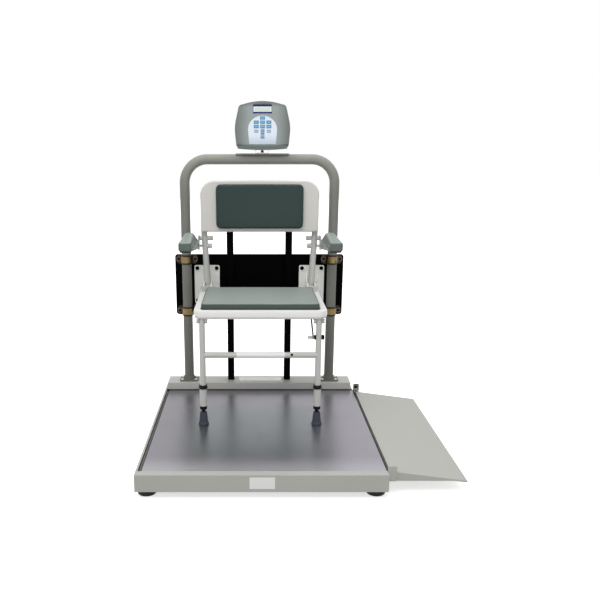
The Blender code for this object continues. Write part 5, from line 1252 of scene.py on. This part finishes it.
def build_seat():
    """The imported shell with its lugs, inside a rim whose lower edge is broadly rounded."""
    core = softened_copy("seat_shell", "seat_lugs_and_walls", 0.001, 2, 50)
    low, high = at(0, 0, 0.4085).z, at(0, 0, 0.439).z
    with Editing(core) as edit:
        edit.choose("VERT", lambda vert: low < vert.co.z < high)
        edit.resize((0.988, 0.988, 0.97), at(0, 0.785, 0.424))
    # The lugs and walls take the darker chair enamel as painted shade, so they read no brighter
    # than the brackets beside them
    dress(shade(core, 62), FINISH.enamel, "white_shell", "seat", "seat_shell")
    half_width, front, back = 0.2428, 0.41, 0.7852
    half_depth = (back - front) / 2
    corners = [(-half_width, front), (half_width, front), (half_width, back), (-half_width, back)]
    outline = rounded(corners, [0.036, 0.036, 0.01, 0.01], 14)
    middle = at(0, front + half_depth, 0)
    inset, level = 0.0, 0.4384
    rings = [
        (0.0008, level), (0.0008, 0.4372), (0.0002, 0.436), (0.0, 0.4345), (0.0, 0.4215),
        (0.0005, 0.418), (0.0018, 0.4145), (0.0042, 0.4112), (0.0074, 0.4092),
        (0.0108, 0.4086), (0.012, 0.41), (0.012, 0.4335),
    ]
    rim = cut_out("moulded_seat_rim", [at(u, v, level) for u, v in outline])
    with Editing(rim) as edit:
        for drawn_in, height in rings:
            if height != level:
                edit.extrude(0, 0, height - level)
            wider = (half_width - drawn_in) / (half_width - inset)
            deeper = (half_depth - drawn_in) / (half_depth - inset)
            edit.resize((wider, deeper, 1), middle)
            inset, level = drawn_in, height
        edit.close()
    dress(shade(rim, 50), FINISH.seat_moulding, "white_shell", "seat")
    outline = rectangle((-0.2188, 0.2188), (0.4385, 0.7675), 0.015)
    board = flat("seat_pad_board", outline, "Z", (0.438, 0.4412), 0.0006)
    dress(board, FINISH.plastic, "black_plastic", "seat")
    for side in SIDES:
        node = f"leg_pivot_bolt_{side}"
        dress_copy(node, f"leg_pivot_{side}", 0.0006, FINISH.steel, "black_plastic", "seat")


def build_legs():
    """Two uprights and the bar between them, with a plug and a blank label on the bar."""
    profile = [
        (0.0104, 0.115), (0.011, 0.1156), (0.011, 0.407), (0.0105, 0.409), (0.009, 0.41)
    ]
    upright = turning("leg_upright", at(-LEG_X, LEG_Y, 0), profile)
    bar = round_part("leg_bar", "X", (-0.2075, 0.2075), LEG_BAR, 0.0108)
    tubes = joined("leg_tubes", [repeated(upright, "leg_uprights", [(2 * LEG_X, 0, 0)]), bar])
    dress(tubes, FINISH.enamel, "white_paint", "legs", "leg_frame")
    plug = button_head("bar_plug", "Y", LEG_Y - 0.0096, -1, 0.0048, 0.0024, (0.115, 0.2735))
    dress(plug, FINISH.plastic, "black_plastic", "legs")
    label = round_part("bar_label", "X", (-0.087, 0.09), LEG_BAR, 0.01092)
    dress(label, FINISH.label, "white_paint", "legs")


def build_leg_ends():
    """The sliding end of each leg: sleeve, collar, cap and a ribbed rubber bell."""
    sleeve = [(0.0128, 0.0725), (0.0133, 0.0731), (0.0133, 0.14), (0.0128, 0.1405)]
    collar = [
        (0.0152, 0.1408), (0.0165, 0.142), (0.0165, 0.149),
        (0.016, 0.15), (0.0148, 0.1545), (0.012, 0.155),
    ]
    stud = [
        (0.0052, 0.0483), (0.0052, 0.052), (0.0072, 0.0535), (0.0072, 0.057),
        (0.0112, 0.0585), (0.0135, 0.0605), (0.0135, 0.0715), (0.013, 0.0722),
    ]
    bell = [
        (0.0172, -0.0017), (0.019, -0.001), (0.0195, 0.0008), (0.0194, 0.004),
        (0.0178, 0.0062), (0.0168, 0.01), (0.016, 0.016), (0.0155, 0.0206),
        (0.015, 0.026), (0.0144, 0.032), (0.0139, 0.035), (0.0142, 0.0358),
        (0.0142, 0.0385), (0.0137, 0.0393), (0.0131, 0.043), (0.013, 0.0468),
        (0.0118, 0.048),
    ]
    for stem, profile, finish, slot, node in (
        ("sleeve_tube", sleeve, FINISH.enamel, "white_paint", "leg_sleeve_{}"),
        ("collar_ring", collar, FINISH.plastic, "black_plastic", "leg_collar_{}"),
        ("cap_and_stud", stud, FINISH.plastic, "black_plastic", "leg_stud_{}"),
        ("rubber_bell", bell, FINISH.tip, "grey_rubber", "leg_tip_{}"),
    ):
        piece = turning(stem, at(-LEG_X, LEG_Y, 0), profile)
        dress_sides(piece, stem, finish, slot, "leg_end_{}", node, 35)


def build_stay():
    """A thin rod from its boss on the leg's bolt up to the eye under the seat, and two knobs."""
    start, eye = at(0.193, *STAY_BOLT), at(0.193, 0.55, 0.396)
    reach = eye - start
    heading = reach.normalized()
    rod = pipe("stay_wire", 0.0033, start + heading * 0.004, heading, [("run", reach)], 24)
    boss = round_part("stay_boss", "X", (0.1895, 0.1965), STAY_BOLT, 0.0066, 0.001)
    dress(joined("stay_wire", [rod, boss]), FINISH.wire, "bright_steel", "stay", "stay_rod")
    parts = [
        round_part("knob_out", "X", (0.2243, 0.2335), STAY_BOLT, 0.0096, 0.0034),
        round_part("knob_in", "X", (0.1968, 0.202), STAY_BOLT, 0.0096, 0.0024),
    ]
    dress(joined("stay_knobs", parts), FINISH.black, "black_plastic", "legs", "stay_bolt")
    parts = [
        round_part("bolt_stem", "X", (0.174, 0.2245), STAY_BOLT, 0.003),
        round_part("bolt_keeper", "X", (0.173, 0.1892), STAY_BOLT, 0.006, 0.0012),
    ]
    dress(joined("stay_bolt_end", parts), FINISH.enamel, "white_paint", "legs")


# Display


def tilted(piece):
    """Leans a finished piece of the head back about the tilt pivots."""
    with Editing(piece):
        bpy.ops.transform.rotate(
            value=HEAD_TILT, orient_axis="X", center_override=at(0, RAIL_Y, TILT_Z)
        )
    return piece


def head_outline():
    """The housing's face: bowed sides, an arched top and a foot that hangs a little."""
    right = [(0.1025, 0.002), (0.1105, 0.0755), (0.0925, 0.168)]
    left = [(-u, v) for u, v in reversed(right)]
    radii = [0.005, 0.182, 0.016]
    turned = rounded(right + left, radii + radii[::-1], 14)
    half = len(turned) // 2
    top, foot = bowed(turned[half - 1], turned[half], 0.014), bowed(turned[-1], turned[0], 0.004)
    return turned[:half] + top + turned[half:] + foot


def chin_outline():
    """The hanging lower lip of the rear housing."""
    half, top, foot = 0.0985, 0.006, 0.0005
    left, right = Vector((-half, foot)), Vector((half, foot))
    return [(-half, top), left, *bowed(left, right, 0.006), right, (half, top)]


def on_head(outline, back):
    return [head_at(u, v, back) for u, v in outline]


def head_form(name, outline, back, edge=0.0, segments=3):
    """A flat outline on the head, filled between two depths behind the face."""
    by = (0, back[1] - back[0], 0)
    return sheet_form(name, on_head(outline, back[0]), by, edge, segments)


def build_display_housing():
    """A front domed towards its rim with the window's opening, a back and a chin."""
    front = cut_out("display_face", on_head(head_outline(), 0.022))
    width, height = 0.218, 0.182
    with Editing(front) as edit:
        edit.extrude(0, -0.0188, 0)
        for drawn_in, rise in (
            (0.0002, 0.0009), (0.0005, 0.0008), (0.0012, 0.0006),
            (0.0024, 0.0004), (0.005, 0.0003), (0.009, 0.0002),
        ):
            edit.extrude(0, -rise, 0)
            narrower, lower = width - 2 * drawn_in, height - 2 * drawn_in
            edit.resize((narrower / width, 1, lower / height), head_at(0, 0.088, 0))
            width, height = narrower, lower
        edit.close()
    opening = rectangle((-0.0372, 0.0372), (0.129, 0.1652), 0.0015, 4)
    cutter = head_form("window_cutter", opening, (-0.003, 0.006))
    modify(front, "BOOLEAN", operation="DIFFERENCE", solver="EXACT", object=cutter)
    bpy.data.objects.remove(cutter)
    shade(tilted(front))
    dress(front, FINISH.housing, "housing_plastic", "head", "display_front")
    rear = softened_copy("display_rear", "display_back", 0.0014, 3)
    dress(rear, FINISH.housing, "housing_plastic", "head", "display_rear")
    chin = cut_out("display_chin", on_head(chin_outline(), 0.0222))
    with Editing(chin) as edit:
        edit.extrude(0, 0.017, 0)
        edit.close()
    soften(tilted(chin), 0.0018)
    dress(chin, FINISH.housing, "housing_plastic", "head")


def build_display_window():
    """A dark blue bezel, a pale margin and the screen, just behind the face."""
    for name, finish, half, rise, back in (
        ("window_bezel", FINISH.bezel, 0.037, (0.1292, 0.165), (0.0012, 0.005)),
        ("window_margin", FINISH.margin, 0.0355, (0.1362, 0.1582), (0.0009, 0.002)),
        ("window_screen", FINISH.screen, 0.0312, (0.137, 0.154), (0.0006, 0.0015)),
    ):
        pane = head_form(name, rectangle((-half, half), rise, 0.001, 3), back)
        nodes = ["lcd_window"] if name == "window_bezel" else []
        dress(tilted(pane), finish, "lcd_glass", "head", *nodes)


def raised_keys(name, spots, level, half, front=-0.0014):
    """One key cap and its copies: their places along and above, and the cap's half sizes."""
    u, v = spots[0]
    wide = (u - half[0], u + half[0])
    tall = (level + v - half[1], level + v + half[1])
    key = head_form(name, rectangle(wide, tall, 0.0009, 3), (front, 0.0), 0.0003, 2)
    return repeated(key, name, [(along - u, 0, above - v) for along, above in spots[1:]])


def build_keypad():
    """A white membrane with an arched top, raised blue keys and four grey ones."""
    outline = [(-0.052, 0.003), (0.052, 0.003)] + arc((0, 0.063), 0.057, 0, 180, 40)
    film = head_form("keypad_film", outline, (-0.0006, 0.0004), 0.0002, 2)
    dress(tilted(film), FINISH.membrane, "key_membrane", "head", "keypad")
    along, above, middle_row = 0.0247, 0.0178, 0.0749
    wide = [(column * along, row * above) for row in (0, 1) for column in (-1, 0, 1)]
    wide.append((0, 2 * above))
    narrow = [(0, -above), (0, -2.4 * above)]
    keys = [
        raised_keys("wide_keys", wide, middle_row, (0.0098, 0.007)),
        raised_keys("narrow_keys", narrow, middle_row, (0.0076, 0.0066)),
        raised_keys("thin_key", [(0, -1.68 * above)], middle_row, (0.0076, 0.0036)),
    ]
    dress(tilted(joined("keypad_keys", keys)), FINISH.keys, "key_membrane", "head")
    prints = raised_keys("key_prints", wide + narrow, middle_row, (0.0052, 0.001), -0.0015)
    dress(tilted(prints), FINISH.key_print, "key_membrane", "head")
    marks = [(column * along, row * 0.0034) for column in (-1, 1) for row in (-1, 1)]
    marks = raised_keys("keypad_marks", marks, middle_row - 1.08 * above, (0.0085, 0.0022))
    dress(tilted(marks), FINISH.glyphs, "key_membrane", "head")


def build_display_carrier():
    """The saddle on the rail, the forked yoke and the bolt that it swivels on."""
    dress_copy("display_saddle", "saddle_plate", 0.0004, FINISH.rail, "bright_steel")
    dress_copy("display_yoke", "forked_yoke", 0.0005, FINISH.steel, "bright_steel", "yoke")
    place = (DISPLAY_X, RAIL_Y)
    nut = round_part("swivel_nut", "Z", (0.9904, 0.9965), place, 0.007, sides=6)
    stem = round_part("swivel_stem", "Z", (0.996, 1.006), place, 0.0044)
    dress(joined("swivel_bolt", [nut, stem]), FINISH.plastic, "bright_steel", "yoke")
    paint_with(FINISH.board, NODES["display_board"].data)


build_platform()
build_levelling_feet()
build_ramp()
build_handrail()
build_cross_plate()
build_flanges()
build_posts()
build_clamps()
build_seat_brackets()
build_arms()
build_leg_ends()
build_backrest_frame()
build_backrest_fasteners()
build_backrest_shell()
build_back_pad()
build_seat()
build_seat_pad()
build_legs()
build_stay()
build_display_housing()
build_display_window()
build_keypad()
build_display_carrier()
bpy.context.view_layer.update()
